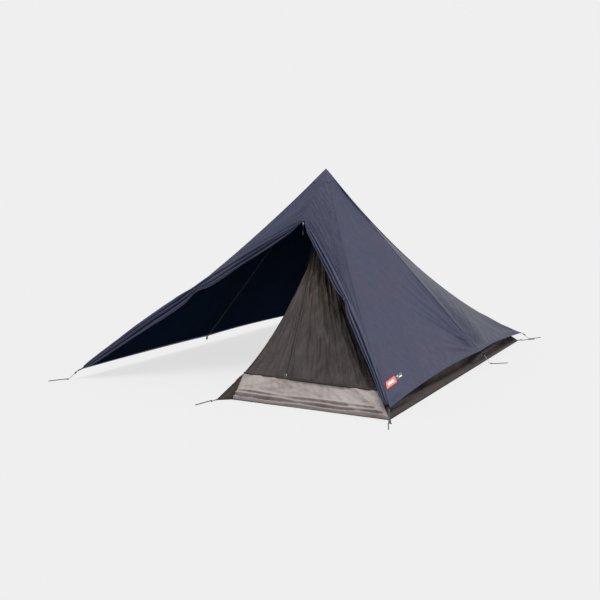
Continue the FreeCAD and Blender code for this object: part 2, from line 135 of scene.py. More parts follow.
# %% [markdown]
# ## Shader maths as plain expressions
# A material is a graph of nodes. Writing `1 - mask` is easier to read than making a Math node by
# hand, so one small class wraps a socket, and each operator adds the node that it needs.

# %% The socket class
class Wire:
    """A number that varies over a surface."""

    def __init__(self, finish, socket):
        self.finish, self.socket = finish, socket

    def _math(self, kind, first, second):
        return self.finish.node("ShaderNodeMath", {"operation": kind}, [first, second])[0]

    def __add__(self, other):
        return self._math("ADD", self, other)

    def __radd__(self, other):
        return self._math("ADD", other, self)

    def __sub__(self, other):
        return self._math("SUBTRACT", self, other)

    def __rsub__(self, other):
        return self._math("SUBTRACT", other, self)

    def __mul__(self, other):
        return self._math("MULTIPLY", self, other)

    def __rmul__(self, other):
        return self._math("MULTIPLY", other, self)

    def __pow__(self, other):
        return self._math("POWER", self, other)

    def above(self, limit):
        return self._math("GREATER_THAN", self, limit)

    def smaller(self, other):
        return self._math("MINIMUM", self, other)

    def larger(self, other):
        return self._math("MAXIMUM", self, other)


class Finish:
    """A material, with one method that adds any node to it."""

    def __init__(self, name, roughness=0.6, **fixed):
        self.material = bpy.data.materials.new(name)
        self.material.use_nodes = True
        self.tree = self.material.node_tree
        self.shader = self.tree.nodes["Principled BSDF"]
        self.set("Roughness", roughness)
        for socket, value in fixed.items():
            self.set(socket.replace("_", " "), value)

    def node(self, kind, settings=None, values=()):
        made = self.tree.nodes.new(kind)
        for key, value in (settings or {}).items():
            if key == "stops":
                ramp = made.color_ramp
                while len(ramp.elements) < len(value):
                    ramp.elements.new(0.5)
                for element, (place, colour) in zip(ramp.elements, value):
                    element.position, element.color = place, (*colour, 1.0)
            else:
                setattr(made, key, value)
        pairs = values.items() if isinstance(values, dict) else enumerate(values)
        for key, value in pairs:
            self.join(value, made.inputs[key])
        return [Wire(self, socket) for socket in made.outputs]

    def join(self, value, socket):
        if isinstance(value, Wire):
            self.tree.links.new(value.socket, socket)
        else:
            socket.default_value = value

    def set(self, name, value):
        if name in ("Base Color", "Emission Color") and not isinstance(value, Wire):
            value = (*value, 1.0)
        self.join(value, self.shader.inputs[name])

    def uv(self, scale=1.0, turn=0.0):
        where = self.node("ShaderNodeTexCoord")[2]
        return self.node("ShaderNodeMapping", None,
                         {"Vector": where, "Rotation": (0, 0, turn), "Scale": (scale, scale, scale)})[0]

    def place(self, scale=(1, 1, 1)):
        where = self.node("ShaderNodeTexCoord")[3]
        return self.node("ShaderNodeMapping", None, {"Vector": where, "Scale": scale})[0]

    def noise(self, where, scale, detail=3.0, roughness=0.5):
        return self.node("ShaderNodeTexNoise", None,
                         {"Vector": where, "Scale": scale, "Detail": detail, "Roughness": roughness})[0]

    def wave(self, where, scale, axis="X", distortion=0.0):
        return self.node("ShaderNodeTexWave", {"bands_direction": axis},
                         {"Vector": where, "Scale": scale, "Distortion": distortion})[1]

    def blend(self, mask, low, high):
        settings = {"data_type": "RGBA"}
        low = low if isinstance(low, Wire) else (*low, 1.0)
        high = high if isinstance(high, Wire) else (*high, 1.0)
        return self.node("ShaderNodeMix", settings, {0: mask, 6: low, 7: high})[2]

    def fit(self, value, low, high, to_low=0.0, to_high=1.0):
        return self.node("ShaderNodeMapRange", None, [value, low, high, to_low, to_high])[0]

    def bump(self, height, distance, strength=1.0, below=None):
        values = {"Height": height, "Distance": distance, "Strength": strength}
        if below is not None:
            values["Normal"] = below
        return self.node("ShaderNodeBump", None, values)[0]


# %% [markdown]
# ## Coated tent cloth
# The fly is fine woven nylon with a coating. Seen from outside it is a slate navy with little gloss
# and a faint blotchy drift towards purple, because the dye and the coating aren't even. A ripstop
# grid of thicker threads stands a hair above the weave. UV coordinates are in metres on every
# sheet, so that the grid keeps its real size.

# %% Cloth finishes
RIPSTOP = 0.006


def ripstop(finish):
    """The raised grid of thicker threads, 1 on a thread."""
    where = finish.uv()
    x, y = finish.node("ShaderNodeSeparateXYZ", None, [where])[:2]
    lines = []
    for along in (x, y):
        cell = finish.node("ShaderNodeMath", {"operation": "PINGPONG"}, [along, RIPSTOP / 2])[0]
        lines.append(finish.fit(cell, 0.00025, 0.00045, 1.0, 0.0))
    return lines[0].larger(lines[1])


def tent_cloth(name, colour, drift, roughness, gloss=0.22, grid=0.00012, streaks=0.0):
    finish = Finish(name, roughness)
    finish.set("Specular IOR Level", gloss)
    where = finish.place()
    broad = finish.noise(where, 3.1, 4.0, 0.6)
    fine = finish.noise(where, 26.0, 3.0, 0.6)
    mask = finish.fit(broad * 0.75 + fine * 0.25, 0.40, 0.62)
    base = finish.blend(mask, colour, drift)
    thread = ripstop(finish)
    darker = tuple(c * 0.82 for c in colour)
    finish.set("Base Color", finish.blend(thread * 0.35, base, darker))
    finish.set("Roughness", finish.fit(fine, 0.3, 0.7, roughness - 0.05, roughness + 0.07))
    weave = finish.noise(finish.uv(), 1400.0, 2.0)
    crinkle = finish.noise(finish.place((1, 1, 1)), 9.0, 5.0, 0.55)
    low = finish.bump(crinkle, 0.012, 0.45)
    if streaks:
        stretched = finish.node("ShaderNodeMapping", None,
                                {"Vector": finish.uv(), "Scale": (1.6, 34.0, 1.0)})[0]
        run = finish.noise(stretched, 1.0, 3.0, 0.55)
        low = finish.bump(run, streaks, 0.9, low)
    mid = finish.bump(thread, grid, 0.8, low)
    finish.set("Normal", finish.bump(weave, 0.0001, 0.35, mid))
    return finish.material


FLY_OUT = tent_cloth("fly_cloth_outside", (0.0310, 0.0375, 0.0760), (0.0410, 0.0370, 0.0720), 0.50)
FLY_FRONT = tent_cloth("fly_cloth_front", (0.0290, 0.0365, 0.0740), (0.0370, 0.0360, 0.0700), 0.50,
                       streaks=0.014)
# The three rear gores are a lighter, greyer copy of the same cloth: painted light and reflection where they
# face the sky.
FLY_REAR_PAINTED_LIGHT = tent_cloth("fly_cloth_rear_painted_light", (0.0430, 0.0470, 0.0720), (0.0470, 0.0490, 0.0730), 0.50)
# The inside of the fly is painted almost black: partly the coating's darker navy, mostly painted shade for
# the dim inside of the tent.
FLY_IN_PAINTED_SHADE = tent_cloth("fly_cloth_inside_painted_shade", (0.0034, 0.0068, 0.0150), (0.0024, 0.0050, 0.0115), 0.80, 0.0)
# The inside of the rear gore is painted a brighter blue: painted light that stands in for daylight shining
# through the cloth.
FLY_IN_REAR_PAINTED_GLOW = tent_cloth("fly_cloth_inside_rear_painted_glow", (0.0020, 0.0140, 0.0420), (0.0020, 0.0100, 0.0300),
                         0.75, 0.03)
TUB = tent_cloth("tub_cloth", (0.030, 0.023, 0.020), (0.044, 0.033, 0.029), 0.55, 0.20)
FLOOR = tent_cloth("floor_cloth", (0.012, 0.011, 0.011), (0.018, 0.016, 0.015), 0.60, 0.15)
SILL = tent_cloth("sill_cloth", (0.235, 0.202, 0.195), (0.325, 0.288, 0.277), 0.48, 0.25)

# %% [markdown]
# Mosquito mesh is a fine knit. Its holes are too small to be seen one by one, so it only dims what
# is behind it, and real holes would cost millions of faces. The alpha is a little lower between
# the threads instead. Long soft streaks of painted light and shade stand in for the shading of the
# folds, and they vary the alpha too. The upper part is painted paler, a painted light that makes up
# for the little light that reaches it there, so that its threads are not lost.

# %% Mesh finish
# How much paler the top of the mesh is painted: painted light that makes up for the shade under the fly.
MESH_PAINTED_LIGHT = 4.2


def mesh_cloth(name, colour, drift, cover):
    finish = Finish(name, 0.75)
    where = finish.uv()
    # Streaks of painted light and shade that stand in for the shading of the mesh's folds; they also vary
    # its alpha.
    painted_fold_shade = finish.noise(finish.place((9.0, 2.0, 1.1)), 2.4, 5.0, 0.62)
    tint = finish.noise(finish.place(), 2.3, 3.0)
    mask = finish.fit(painted_fold_shade * 0.7 + tint * 0.3, 0.38, 0.66)
    height = finish.node("ShaderNodeSeparateXYZ", None, [where])[1]
    # colour is the painted shaded side of the folds and drift the painted lit side, mixed by the streaks and
    # a random tint.
    low = finish.blend(mask, colour, drift)
    # high is a paler copy for the top of the mesh: painted light against the shade there.
    high = finish.blend(mask, tuple(c * MESH_PAINTED_LIGHT for c in colour), tuple(c * MESH_PAINTED_LIGHT for c in drift))
    finish.set("Base Color", finish.blend(finish.fit(height, 0.55, 1.25, 0.0, 1.0), low, high))
    holes = finish.node("ShaderNodeTexVoronoi", {"feature": "DISTANCE_TO_EDGE"},
                        {"Vector": where, "Scale": 700.0, "Randomness": 0.25})[0]
    thread = finish.fit(holes, 0.10, 0.22, 1.0, 0.0)
    finish.set("Alpha", finish.fit(thread * 0.5 + painted_fold_shade * 0.5, 0.2, 0.8, cover - 0.10, cover + 0.07))
    finish.set("Normal", finish.bump(thread, 0.0002, 0.6))
    return finish.material


MESH = mesh_cloth("mesh_cloth", (0.017, 0.012, 0.0105), (0.044, 0.033, 0.030), 0.83)
MESH_SIDE = mesh_cloth("mesh_cloth_side", (0.020, 0.015, 0.014), (0.040, 0.031, 0.028), 0.77)

# %% [markdown]
# ## Tapes, cords, plastic and metal
# Webbing shows its weave as fine ribs across its length, with a lighter thread here and there.
# Moulded plastic has a fine grain and lighter patches here and there. The pole is anodised tube with faint
# lines along it, and the pegs are drawn wire with scratches.

# %% Hard and narrow finishes
def webbing(name, colour, ribs=900.0):
    finish = Finish(name, 0.8)
    finish.set("Sheen Weight", 0.3)
    where = finish.place()
    x, y = finish.node("ShaderNodeSeparateXYZ", None, [finish.uv()])[:2]
    rib = finish.node("ShaderNodeMath", {"operation": "SINE"}, [y * (ribs * 2 * math.pi)])[0]
    cross = finish.node("ShaderNodeMath", {"operation": "SINE"}, [x * (ribs * 1.2 * math.pi)])[0]
    weave = finish.fit(rib * cross, -1.0, 1.0)
    speckle = finish.noise(where, 300.0, 2.0)
    light = tuple(min(1.0, c * 2.2 + 0.01) for c in colour)
    finish.set("Base Color", finish.blend(weave * 0.5 + speckle * 0.3, colour, light))
    finish.set("Normal", finish.bump(weave, 0.0003, 0.8))
    return finish.material


def plastic(name, colour, roughness=0.42, grain=900.0):
    finish = Finish(name, roughness)
    where = finish.place()
    grains = finish.noise(where, grain, 2.0)
    dust = finish.noise(where, 60.0, 4.0)
    light = tuple(min(1.0, c * 1.7 + 0.012) for c in colour)
    finish.set("Base Color", finish.blend(finish.fit(dust, 0.45, 0.75), colour, light))
    finish.set("Roughness", finish.fit(dust, 0.3, 0.7, roughness - 0.08, roughness + 0.10))
    finish.set("Normal", finish.bump(grains, 0.00012, 0.5))
    return finish.material


def metal(name, colour, roughness, stretch=(60, 60, 3), scratch=0.5):
    finish = Finish(name, roughness, Metallic=1.0)
    lines = finish.noise(finish.place(stretch), 9.0, 4.0, 0.65)
    smudge = finish.noise(finish.place(), 24.0, 3.0)
    dark = tuple(c * 0.72 for c in colour)
    finish.set("Base Color", finish.blend(finish.fit(lines * 0.6 + smudge * 0.4, 0.35, 0.68), dark, colour))
    finish.set("Roughness", finish.fit(lines, 0.3, 0.7, roughness - 0.08, roughness + 0.12))
    finish.set("Normal", finish.bump(lines, 0.00008, scratch))
    return finish.material


def rubber(name):
    finish = Finish(name, 0.85)
    dust = finish.noise(finish.place(), 90.0, 4.0)
    pale = (0.05, 0.048, 0.045)
    finish.set("Base Color", finish.blend(finish.fit(dust, 0.45, 0.7), (0.012, 0.012, 0.012), pale))
    finish.set("Normal", finish.bump(finish.noise(finish.place(), 700.0), 0.0002, 0.6))
    return finish.material


def cord_finish(name, colour, fleck):
    """A round braid: two sets of strands that cross, with a fleck of lighter yarn."""
    finish = Finish(name, 0.7)
    x, y, z = finish.node("ShaderNodeSeparateXYZ", None, [finish.place((1, 1, 1))])
    strand = finish.node("ShaderNodeMath", {"operation": "SINE"}, [(x + y + z) * 2600.0])[0]
    other = finish.node("ShaderNodeMath", {"operation": "SINE"}, [(x - y + z) * 2600.0])[0]
    braid = finish.fit(strand * other, -1.0, 1.0)
    spots = finish.noise(finish.place(), 420.0, 1.0)
    finish.set("Base Color", finish.blend(finish.fit(spots, 0.55, 0.62) * 0.7, colour, fleck))
    finish.set("Normal", finish.bump(braid, 0.0003, 0.7))
    return finish.material


BLACK_WEB = webbing("black_webbing", (0.010, 0.010, 0.011))
BLACK_PLASTIC = plastic("black_plastic", (0.012, 0.012, 0.013))
GREY_PLASTIC = plastic("grey_plastic", (0.10, 0.10, 0.105))
POLE_METAL = metal("anodised_pole", (0.050, 0.052, 0.058), 0.36)
PEG_METAL = metal("drawn_wire", (0.055, 0.055, 0.058), 0.38, (30, 30, 30))
PIN_METAL = metal("pin_steel", (0.55, 0.55, 0.56), 0.28)
ZIP_METAL = metal("zip_slider_metal", (0.60, 0.60, 0.60), 0.34, (80, 80, 80))
RUBBER = rubber("foot_rubber")
BLACK_CORD = cord_finish("black_cord", (0.012, 0.012, 0.013), (0.16, 0.16, 0.17))
PALE_CORD = cord_finish("pale_cord", (0.42, 0.42, 0.43), (0.75, 0.75, 0.76))
print("finishes", len(bpy.data.materials))

# %% [markdown]
# ## From a grid to a piece of cloth
# Every sheet starts as Blender's own grid operator. Each of its corners is then carried to its place
# in the tent by a function of two numbers from 0 to 1: u across the sheet, and v from its lower
# edge up. Neighbouring sheets share the same function along a seam, so they weld without a gap.


def lay_grid(bm, columns, rows, place, index=0, size=(1.0, 1.0), turn=False):
    """Add a grid whose corners place(u, v) puts in the tent. size is its cloth's width and height."""
    corners = bmesh.ops.create_grid(bm, x_segments=columns, y_segments=rows, size=0.5)["verts"]
    layer = bm.loops.layers.uv.verify()
    spot = {corner: (corner.co.x + 0.5, corner.co.y + 0.5) for corner in corners}
    faces = list({face: None for corner in corners for face in corner.link_faces})
    for face in faces:
        face.material_index = index
        for loop in face.loops:
            u, v = spot[loop.vert]
            loop[layer].uv = (u * size[0], v * size[1])
    for corner in corners:
        corner.co = place(*spot[corner])
    if turn:
        bmesh.ops.reverse_faces(bm, faces=faces)
    return corners


def weld(bm, gap=0.00001):
    bmesh.ops.remove_doubles(bm, verts=bm.verts, dist=gap)


def piece(name, bm, finishes, body="root", slot=None, stands_for=(), thickness=0.0, lining=0,
          sinks=None, smooth=True):
    """Turn a bmesh into a finished piece of the tent that rides on a body."""
    mesh = bpy.data.meshes.new(name)
    bm.to_mesh(mesh)
    bm.free()
    made = bpy.data.objects.new(name, mesh)
    bpy.context.scene.collection.objects.link(made)
    for finish in finishes:
        mesh.materials.append(finish)
    mesh.polygons.foreach_set("use_smooth", [smooth] * len(mesh.polygons))
    if thickness:
        wall = made.modifiers.new("thickness", "SOLIDIFY")
        wall.thickness, wall.offset = thickness, -1.0
        wall.material_offset = lining
    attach(made, body)
    if stands_for:
        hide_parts(*stands_for)
    if sinks:
        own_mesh(made)
    print(name, len(mesh.polygons), "faces")
    return made


def ease(x):
    """0 below 0, 1 above 1, and smooth between."""
    x = max(0.0, min(1.0, x))
    return x * x * (3 - 2 * x)


def rumple(x, y, seed):
    """A soft random height from about -1 to 1."""
    return noise.noise(Vector((x, y, seed * 7.31)))


def crease(x, y, seed, sharp=2.6):
    """Narrow ridges at random places: 1 on a ridge, and 0 well away from one."""
    return max(0.0, 1.0 - abs(noise.noise(Vector((x, y, seed * 5.17)))) * sharp) ** 2


def inside(u, v, side=0.05, low=0.05, high=0.06):
    """1 in the middle of a sheet, falling to 0 at its edges."""
    return ease(u / side) * ease((1 - u) / side) * ease(v / low) * ease((1 - v) / high)


def pull_fan(point, origin, across, down, reach, spread, height, seed):
    """Folds that run out from a pegged corner, where all the pull on the cloth meets."""
    away = point - origin
    far = away.length
    if far < 0.001 or far > 3 * reach:
        return 0.0
    angle = math.atan2(away.dot(down), away.dot(across))
    swell = ease(far / (0.25 * reach)) * math.exp(-((far / reach) ** 2))
    return height * swell * (crease(angle * spread, far * 1.3, seed) - 0.3)


# %% [markdown]
# ## The fly, one continuous sheet
# A real fly is sewn from a few gores and behaves as one sheet under tension. Its folds tell where
# the pull is: fans run out from each corner and from the side peg, long creases run beside the
# folded door, and small puckers follow every seam. All of these are heights, added along the
# outward direction of each gore and fading to nothing at the seams, where the gores are welded.

# %% The gores of the fly
ROWS = 76
GORES = {
    "right_front": ("front_right", "right", 120, 0, 11),
    "right_rear": ("right", "rear_right", 84, 1, 12),
    "rear": ("rear_right", "rear_left", 104, 2, 13),
    "left_rear": ("rear_left", "left", 80, 1, 14),
    "left_front": ("left", "front_left", 84, 0, 15),
}


def gore_point(left, right, u, down, rise=0.0, start=PEAK_SHARE):
    share = start + (1 - start) * down * (1 - 4 * rise * u * (1 - u))
    return left(share).lerp(right(share), u)


def gore_frame(left, right):
    """The directions across, down and out of a gore."""
    across = (right(1) - left(1)).normalized()
    down = (left(1).lerp(right(1), 0.5) - left(0)).normalized()
    return across, down, down.cross(across).normalized()


def fly_height(point, u, down, left, right, across, slope, seed):
    """How far the fly's cloth stands proud of a flat gore at one point."""
    v = 1 - down
    width = (right(down) - left(down)).length
    billow = rumple(u * 2.2 * width + seed, v * 2.6, seed) * 0.010
    drift = rumple(u * 6 * width, v * 2.2, seed + 3) * 0.0035
    fans = pull_fan(point, left(1), across, slope, 0.50, 5.0, 0.016, seed + 1)
    fans += pull_fan(point, right(1), across, slope, 0.50, 5.0, 0.016, seed + 2)
    fans += pull_fan(point, left(0), across, slope, 0.45, 5.0, 0.004, seed + 4)
    near = min(u, 1 - u) * width
    pucker = rumple(down * 42, near * 9, seed + 5) * 0.0032 * math.exp(-near / 0.035)
    hem = rumple(u * width * 22, v * 6, seed + 6) * 0.0060 * math.exp(-v / 0.05)
    return (billow + drift + fans + hem) * inside(u, v, 0.06, 0.03, 0.10) + pucker * ease(near / 0.010)


ROW_POWER = 1.3


def down_of(v):
    """Rows are closer together near the hem, where the cloth has its finest folds."""
    return 1 - max(0.0, v)**ROW_POWER


def row_of(down):
    """The grid's own v at a place given as a share of the way down."""
    return max(0.0, 1 - down)**(1 / ROW_POWER)


def fly_gore(name):
    left_name, right_name, columns, index, seed = GORES[name]
    left, right = FLY[left_name], FLY[right_name]
    across, slope, out = gore_frame(left, right)

    def place(u, v):
        down = down_of(v)
        point = gore_point(left, right, u, down, HEM_RISE[name])
        return point + out * fly_height(point, u, down, left, right, across, slope, seed)
    width = (right(1) - left(1)).length
    height = (left(1) - left(0)).length
    return columns, place, index, (width, height)


MIDDLE_TOP = FLY["front_left"](PEAK_SHARE).lerp(FLY["front_right"](PEAK_SHARE), 0.5)


def front_point(corner, side, u, down):
    """A point of the cloth between the middle of the front, one ridge and the folded door."""
    inner_end = MIDDLE_TOP.lerp(DOOR_HEAD, down)
    outer_end = FLY[corner](PEAK_SHARE + (1 - PEAK_SHARE) * down)
    bow = Vector((side * 0.62, 0.27, 0.27)) * (DOOR_BOW * down * down)
    return inner_end.lerp(outer_end, u) + bow * (4 * u * (1 - u))


def front_height(u, down, side, seed):
    """Creases that run beside the folded door, strongest at its edge and near its head."""
    bend = rumple(u * 2, down * 3, seed) * 0.5
    run = crease(down * 13.0 + bend, u * 0.9, seed, 2.0)
    fine = crease(down * 31.0 + bend * 2, u * 1.3, seed + 1, 2.0)
    beside = math.exp(-((1 - down) / (0.34 if side > 0 else 0.42)) ** 2)
    head = ease(u / 0.05) * (1 - 0.45 * u)
    soft = rumple(u * 3.1, down * 2.4, seed + 2) * 0.006
    fade = ease(u / 0.03) * ease((1 - u) / 0.10) * ease(down / 0.10)
    return ((0.0115 * (run - 0.25) + 0.0050 * (fine - 0.25)) * beside * head + soft) * fade


FRONT_OUT = Vector((0, -0.72, 0.69))


def front_gore(corner, side, seed):
    def place(u, v):
        u = u if side > 0 else 1 - u
        down = down_of(v)
        return front_point(corner, side, u, down) + FRONT_OUT * front_height(u, down, side, seed)
    return place


bm = bmesh.new()
for name in GORES:
    columns, place, index, size = fly_gore(name)
    lay_grid(bm, columns, ROWS, place, index, size)
lay_grid(bm, 56, ROWS, front_gore("front_right", 1, 21), 3, (1.3, 1.2))
lay_grid(bm, 56, ROWS, front_gore("front_left", -1, 22), 3, (1.3, 1.2))
weld(bm)
fly = piece("fly_canopy", bm, (FLY_OUT, FLY_REAR_PAINTED_LIGHT, FLY_REAR_PAINTED_LIGHT, FLY_FRONT, FLY_IN_PAINTED_SHADE, FLY_IN_PAINTED_SHADE, FLY_IN_REAR_PAINTED_GLOW, FLY_IN_PAINTED_SHADE),
            slot="fly_cloth",
            stands_for=("fly_right_front_panel", "fly_right_rear_panel", "fly_rear_panel",
                        "fly_left_rear_panel", "fly_left_front_panel", "fly_front_right_panel",
                        "fly_front_left_panel"),
            thickness=0.0010, lining=4, sinks="fly")

# %% [markdown]
# ## Tapes over the seams
# Where two gores meet, their edges are folded into each other and sewn down, so a real ridge is a
# flat band about as wide as a finger with a row of stitches near each side. The band is a narrow
# grid that follows the seam and reaches a little way onto both of the gores.

# %% Tape finish and seam tapes
def tape_finish(name, colour, light, width, gloss=0.22, pitch=0.0035):
    """A band with two rows of stitches. UV runs across it from 0 to width and along it in metres."""
    finish = Finish(name, 0.55, Specular_IOR_Level=gloss)
    x, y = finish.node("ShaderNodeSeparateXYZ", None, [finish.uv()])[:2]
    off_middle = finish.node("ShaderNodeMath", {"operation": "ABSOLUTE"}, [x - width / 2])[0]
    row = finish.fit(finish.node("ShaderNodeMath", {"operation": "ABSOLUTE"},
                                 [off_middle - width * 0.32])[0], 0.00025, 0.0006, 1.0, 0.0)
    step = finish.node("ShaderNodeMath", {"operation": "PINGPONG"}, [y, pitch / 2])[0]
    dash = finish.fit(step, pitch * 0.10, pitch * 0.18, 0.0, 1.0)
    stitch = row * dash
    patchy = finish.noise(finish.place(), 34.0, 4.0)
    base = finish.blend(finish.fit(patchy, 0.35, 0.7), colour, light)
    finish.set("Base Color", finish.blend(stitch * 0.8, base, tuple(c * 0.45 for c in colour)))
    pucker = finish.noise(finish.place(), 130.0, 2.0)
    low = finish.bump(pucker, 0.0016, 0.5)
    finish.set("Normal", finish.bump(stitch, 0.0004, 0.8, low))
    return finish.material


SEAM_WIDTH = 0.020
TAPE_OUT = tape_finish("seam_tape_outside", (0.032, 0.038, 0.074), (0.042, 0.045, 0.082), SEAM_WIDTH)
# The inside tapes are painted near black: painted shade for the dim inside of the fly.
TAPE_IN_PAINTED_SHADE = tape_finish("seam_tape_inside_painted_shade", (0.0012, 0.0022, 0.0045), (0.0020, 0.0032, 0.0060),
                      SEAM_WIDTH, 0.03)
TAPE_BROWN = tape_finish("inner_seam_tape", (0.022, 0.019, 0.018), (0.034, 0.029, 0.027), 0.012)


def seam_tape(name, line, left, right, finish, lift, start=PEAK_SHARE, end=1.0, width=SEAM_WIDTH, steps=150,
              slot="fly_cloth", sinks="fly"):
    """A band over line(share), bent over it towards the lines left(share) and right(share)."""
    def place(u, v):
        share = end + (start - end) * v
        middle = line(share)
        to_left, to_right = (left(share) - middle).normalized(), (right(share) - middle).normalized()
        up = -(to_left + to_right)
        along = (line(share + 0.01) - line(share - 0.01)).normalized()
        up = to_right.cross(along) - to_left.cross(along) if up.length < 0.12 else up
        up.normalize()
        side = to_left if u < 0.5 else to_right
        reach = abs(u - 0.5) * min(width, 0.4 * (left(share) - right(share)).length)
        face = side.cross(along)
        face.normalize()
        face = face if face.dot(up) > 0 else -face
        tip = ease(abs(u - 0.5) * 5)
        return middle + side * reach + (up.lerp(face, tip)).normalized() * lift

    bm = bmesh.new()
    size = (width, (line(start) - line(end)).length)
    lay_grid(bm, 6, steps, place, 0, size, turn=True)
    return piece(name, bm, (finish,), slot=slot, sinks=sinks)


NEIGHBOURS = {
    "front_right": ("right", DOOR_HEAD), "right": ("rear_right", "front_right"),
    "rear_right": ("rear_left", "right"), "rear_left": ("left", "rear_right"),
    "left": ("front_left", "rear_left"), "front_left": (DOOR_HEAD, "left"),
}


def neighbour(which):
    """The line next to a seam. Beside the doorway, it is the middle of the front."""
    return FLY[which] if isinstance(which, str) else seam(PEAK, DOOR_HEAD, 0.0)


for name, (one, other) in NEIGHBOURS.items():
    lines = neighbour(one), neighbour(other)
    seam_tape(f"ridge_tape_{name}", FLY[name], *lines, TAPE_OUT, 0.0016)
    seam_tape(f"ridge_tape_{name}_inside", FLY[name], *lines, TAPE_IN_PAINTED_SHADE, -0.0030)

# %% [markdown]
# The hem is the gore's own edge, folded over twice and sewn. Its band wraps from the outside, round
# the edge, to the inside, so the section is a narrow hook.

# %% Hems
HEM_WIDTH = 0.016


def hem_band(name, edge, upward, outward, columns, finish=TAPE_OUT, width=HEM_WIDTH, proud=0.0014):
    """edge(u) is the edge, upward(u) runs up the cloth, and outward(u) away from the tent."""
    section = ((1.0, 1.0), (0.5, 1.15), (0.1, 1.0), (-0.10, 0.25), (-0.10, -0.9), (0.1, -1.9), (0.5, -2.0),
               (1.0, -1.9))

    def place(u, v):
        spot = v * (len(section) - 1)
        low = min(int(spot), len(section) - 2)
        (a, b), (c, d) = section[low], section[low + 1]
        share = spot - low
        high, out = a + (c - a) * share, b + (d - b) * share
        return edge(u) + upward(u) * (high * width) + outward(u) * (out * proud)
    bm = bmesh.new()
    length = sum((edge((k + 1) / 40) - edge(k / 40)).length for k in range(40))
    lay_grid(bm, columns, len(section) - 1, place, 0, (length, 2 * width), turn=True)
    return piece(name, bm, (finish,), slot="fly_cloth", sinks="fly")


for name, (left_name, right_name, columns, index, seed) in GORES.items():
    columns_of, surface, index_of, size = fly_gore(name)
    left, right = FLY[left_name], FLY[right_name]
    across, slope, out = gore_frame(left, right)
    hem_band(f"hem_{name}", lambda u: surface(u, 0.0),
             lambda u: (surface(u, 0.02) - surface(u, 0.0)).normalized(), lambda u: out, columns)

# %% [markdown]
# ## The peak
# The pole's tip pushes up against a patch of doubled cloth, which spreads the load over all six
# gores. It is a small six-sided hat, sewn on over the ends of the ridge tapes.

# %% Peak patch
PATCH_SHARE = 0.062
PATCH_RING = ("front_left", "front_right", "right", "rear_right", "rear_left", "left")


def peak_patch_point(u, v):
    place = u * len(PATCH_RING)
    low = min(int(place), len(PATCH_RING) - 1)
    share = PATCH_SHARE * (1 - v)
    one, other = FLY[PATCH_RING[low]](share), FLY[PATCH_RING[(low + 1) % len(PATCH_RING)]](share)
    point = one.lerp(other, place - low)
    out = Vector((point.x, point.y, 0.06))
    swell = 0.0022 + 0.0006 * rumple(u * 20, v * 3, 4)
    return point + out.normalized() * swell * min(1.0, 0.4 + 3 * (1 - v))


bm = bmesh.new()
lay_grid(bm, 96, 18, peak_patch_point, 0, (0.30, 0.10))
weld(bm)
patch = piece("peak_patch", bm, (FLY_OUT, FLY_IN_PAINTED_SHADE), slot="fly_cloth", stands_for=("peak_cap",),
              thickness=0.0016, lining=1, sinks="fly")

# %% [markdown]
# ## The rolled doors
# Each half of the front has been rolled up to its ridge and tied once, at its middle. The roll is
# loose: seen from the front it is a few long folds that overlap, fat between the ties, pinched by
# the toggle and thin at both ends. One folded outline is carried along the door's edge, and it
# swells, shrinks and shifts a little on the way.

# %% Door folds
TIE = 0.49
ROLL_SECTION = ((-0.40, 0.00), (-0.05, 0.66), (0.36, 0.80), (0.62, 0.36), (0.46, -0.22), (0.72, -0.10),
                (0.95, 0.48), (1.28, 0.62), (1.50, 0.20), (1.36, -0.38), (1.56, -0.30),
                (1.84, 0.14), (2.12, 0.02),
                (2.16, -0.42), (1.60, -0.80), (0.90, -0.85), (0.20, -0.66), (-0.10, -0.30))
DOORS = {
    "right": ("front_right", 1, 0.007, 0.013, 31, (1.45, 0.15)),
    "left": ("front_left", -1, 0.008, 0.020, 32, (1.45, 0.21)),
}


def door_edge(corner, side, share):
    return front_point(corner, side, share, 1.0)


def smooth_weights(t):
    """How much each of four points in a row counts, t of the way from the second to the third."""
    return -t + 2 * t**2 - t**3, 2 - 5 * t**2 + 3 * t**3, t + 4 * t**2 - 3 * t**3, t**3 - t**2


def smooth_section(points, at):
    """A point on the smooth line through a list of points, with at from 0 to 1."""
    spot = at * (len(points) - 1)
    low = min(int(spot), len(points) - 2)
    t = spot - low
    p = [points[max(0, min(len(points) - 1, low + k))] for k in (-1, 0, 1, 2)]
    return [sum(w * q[axis] for w, q in zip(smooth_weights(t), p)) / 2 for axis in (0, 1)]


def roll_size(side, share, small, extra):
    full = small + extra * math.sin(math.pi * max(0.0, min(1.0, share))) ** 0.7
    pinch = 1 - 0.48 * math.exp(-(((share - TIE) / 0.045) ** 2))
    return full * pinch * (1 + 0.10 * rumple(share * 9, side, 3))


def roll_frame(corner, side, share):
    """A point of the door's edge, with the directions along it, down into the doorway and outwards."""
    point = door_edge(corner, side, share)
    along = (door_edge(corner, side, share + 0.01) - door_edge(corner, side, share - 0.01)).normalized()
    out = (FRONT_OUT - along * FRONT_OUT.dot(along)).normalized()
    down = along.cross(out).normalized()
    down = down if down.z < 0 else -down
    return point, along, down, out


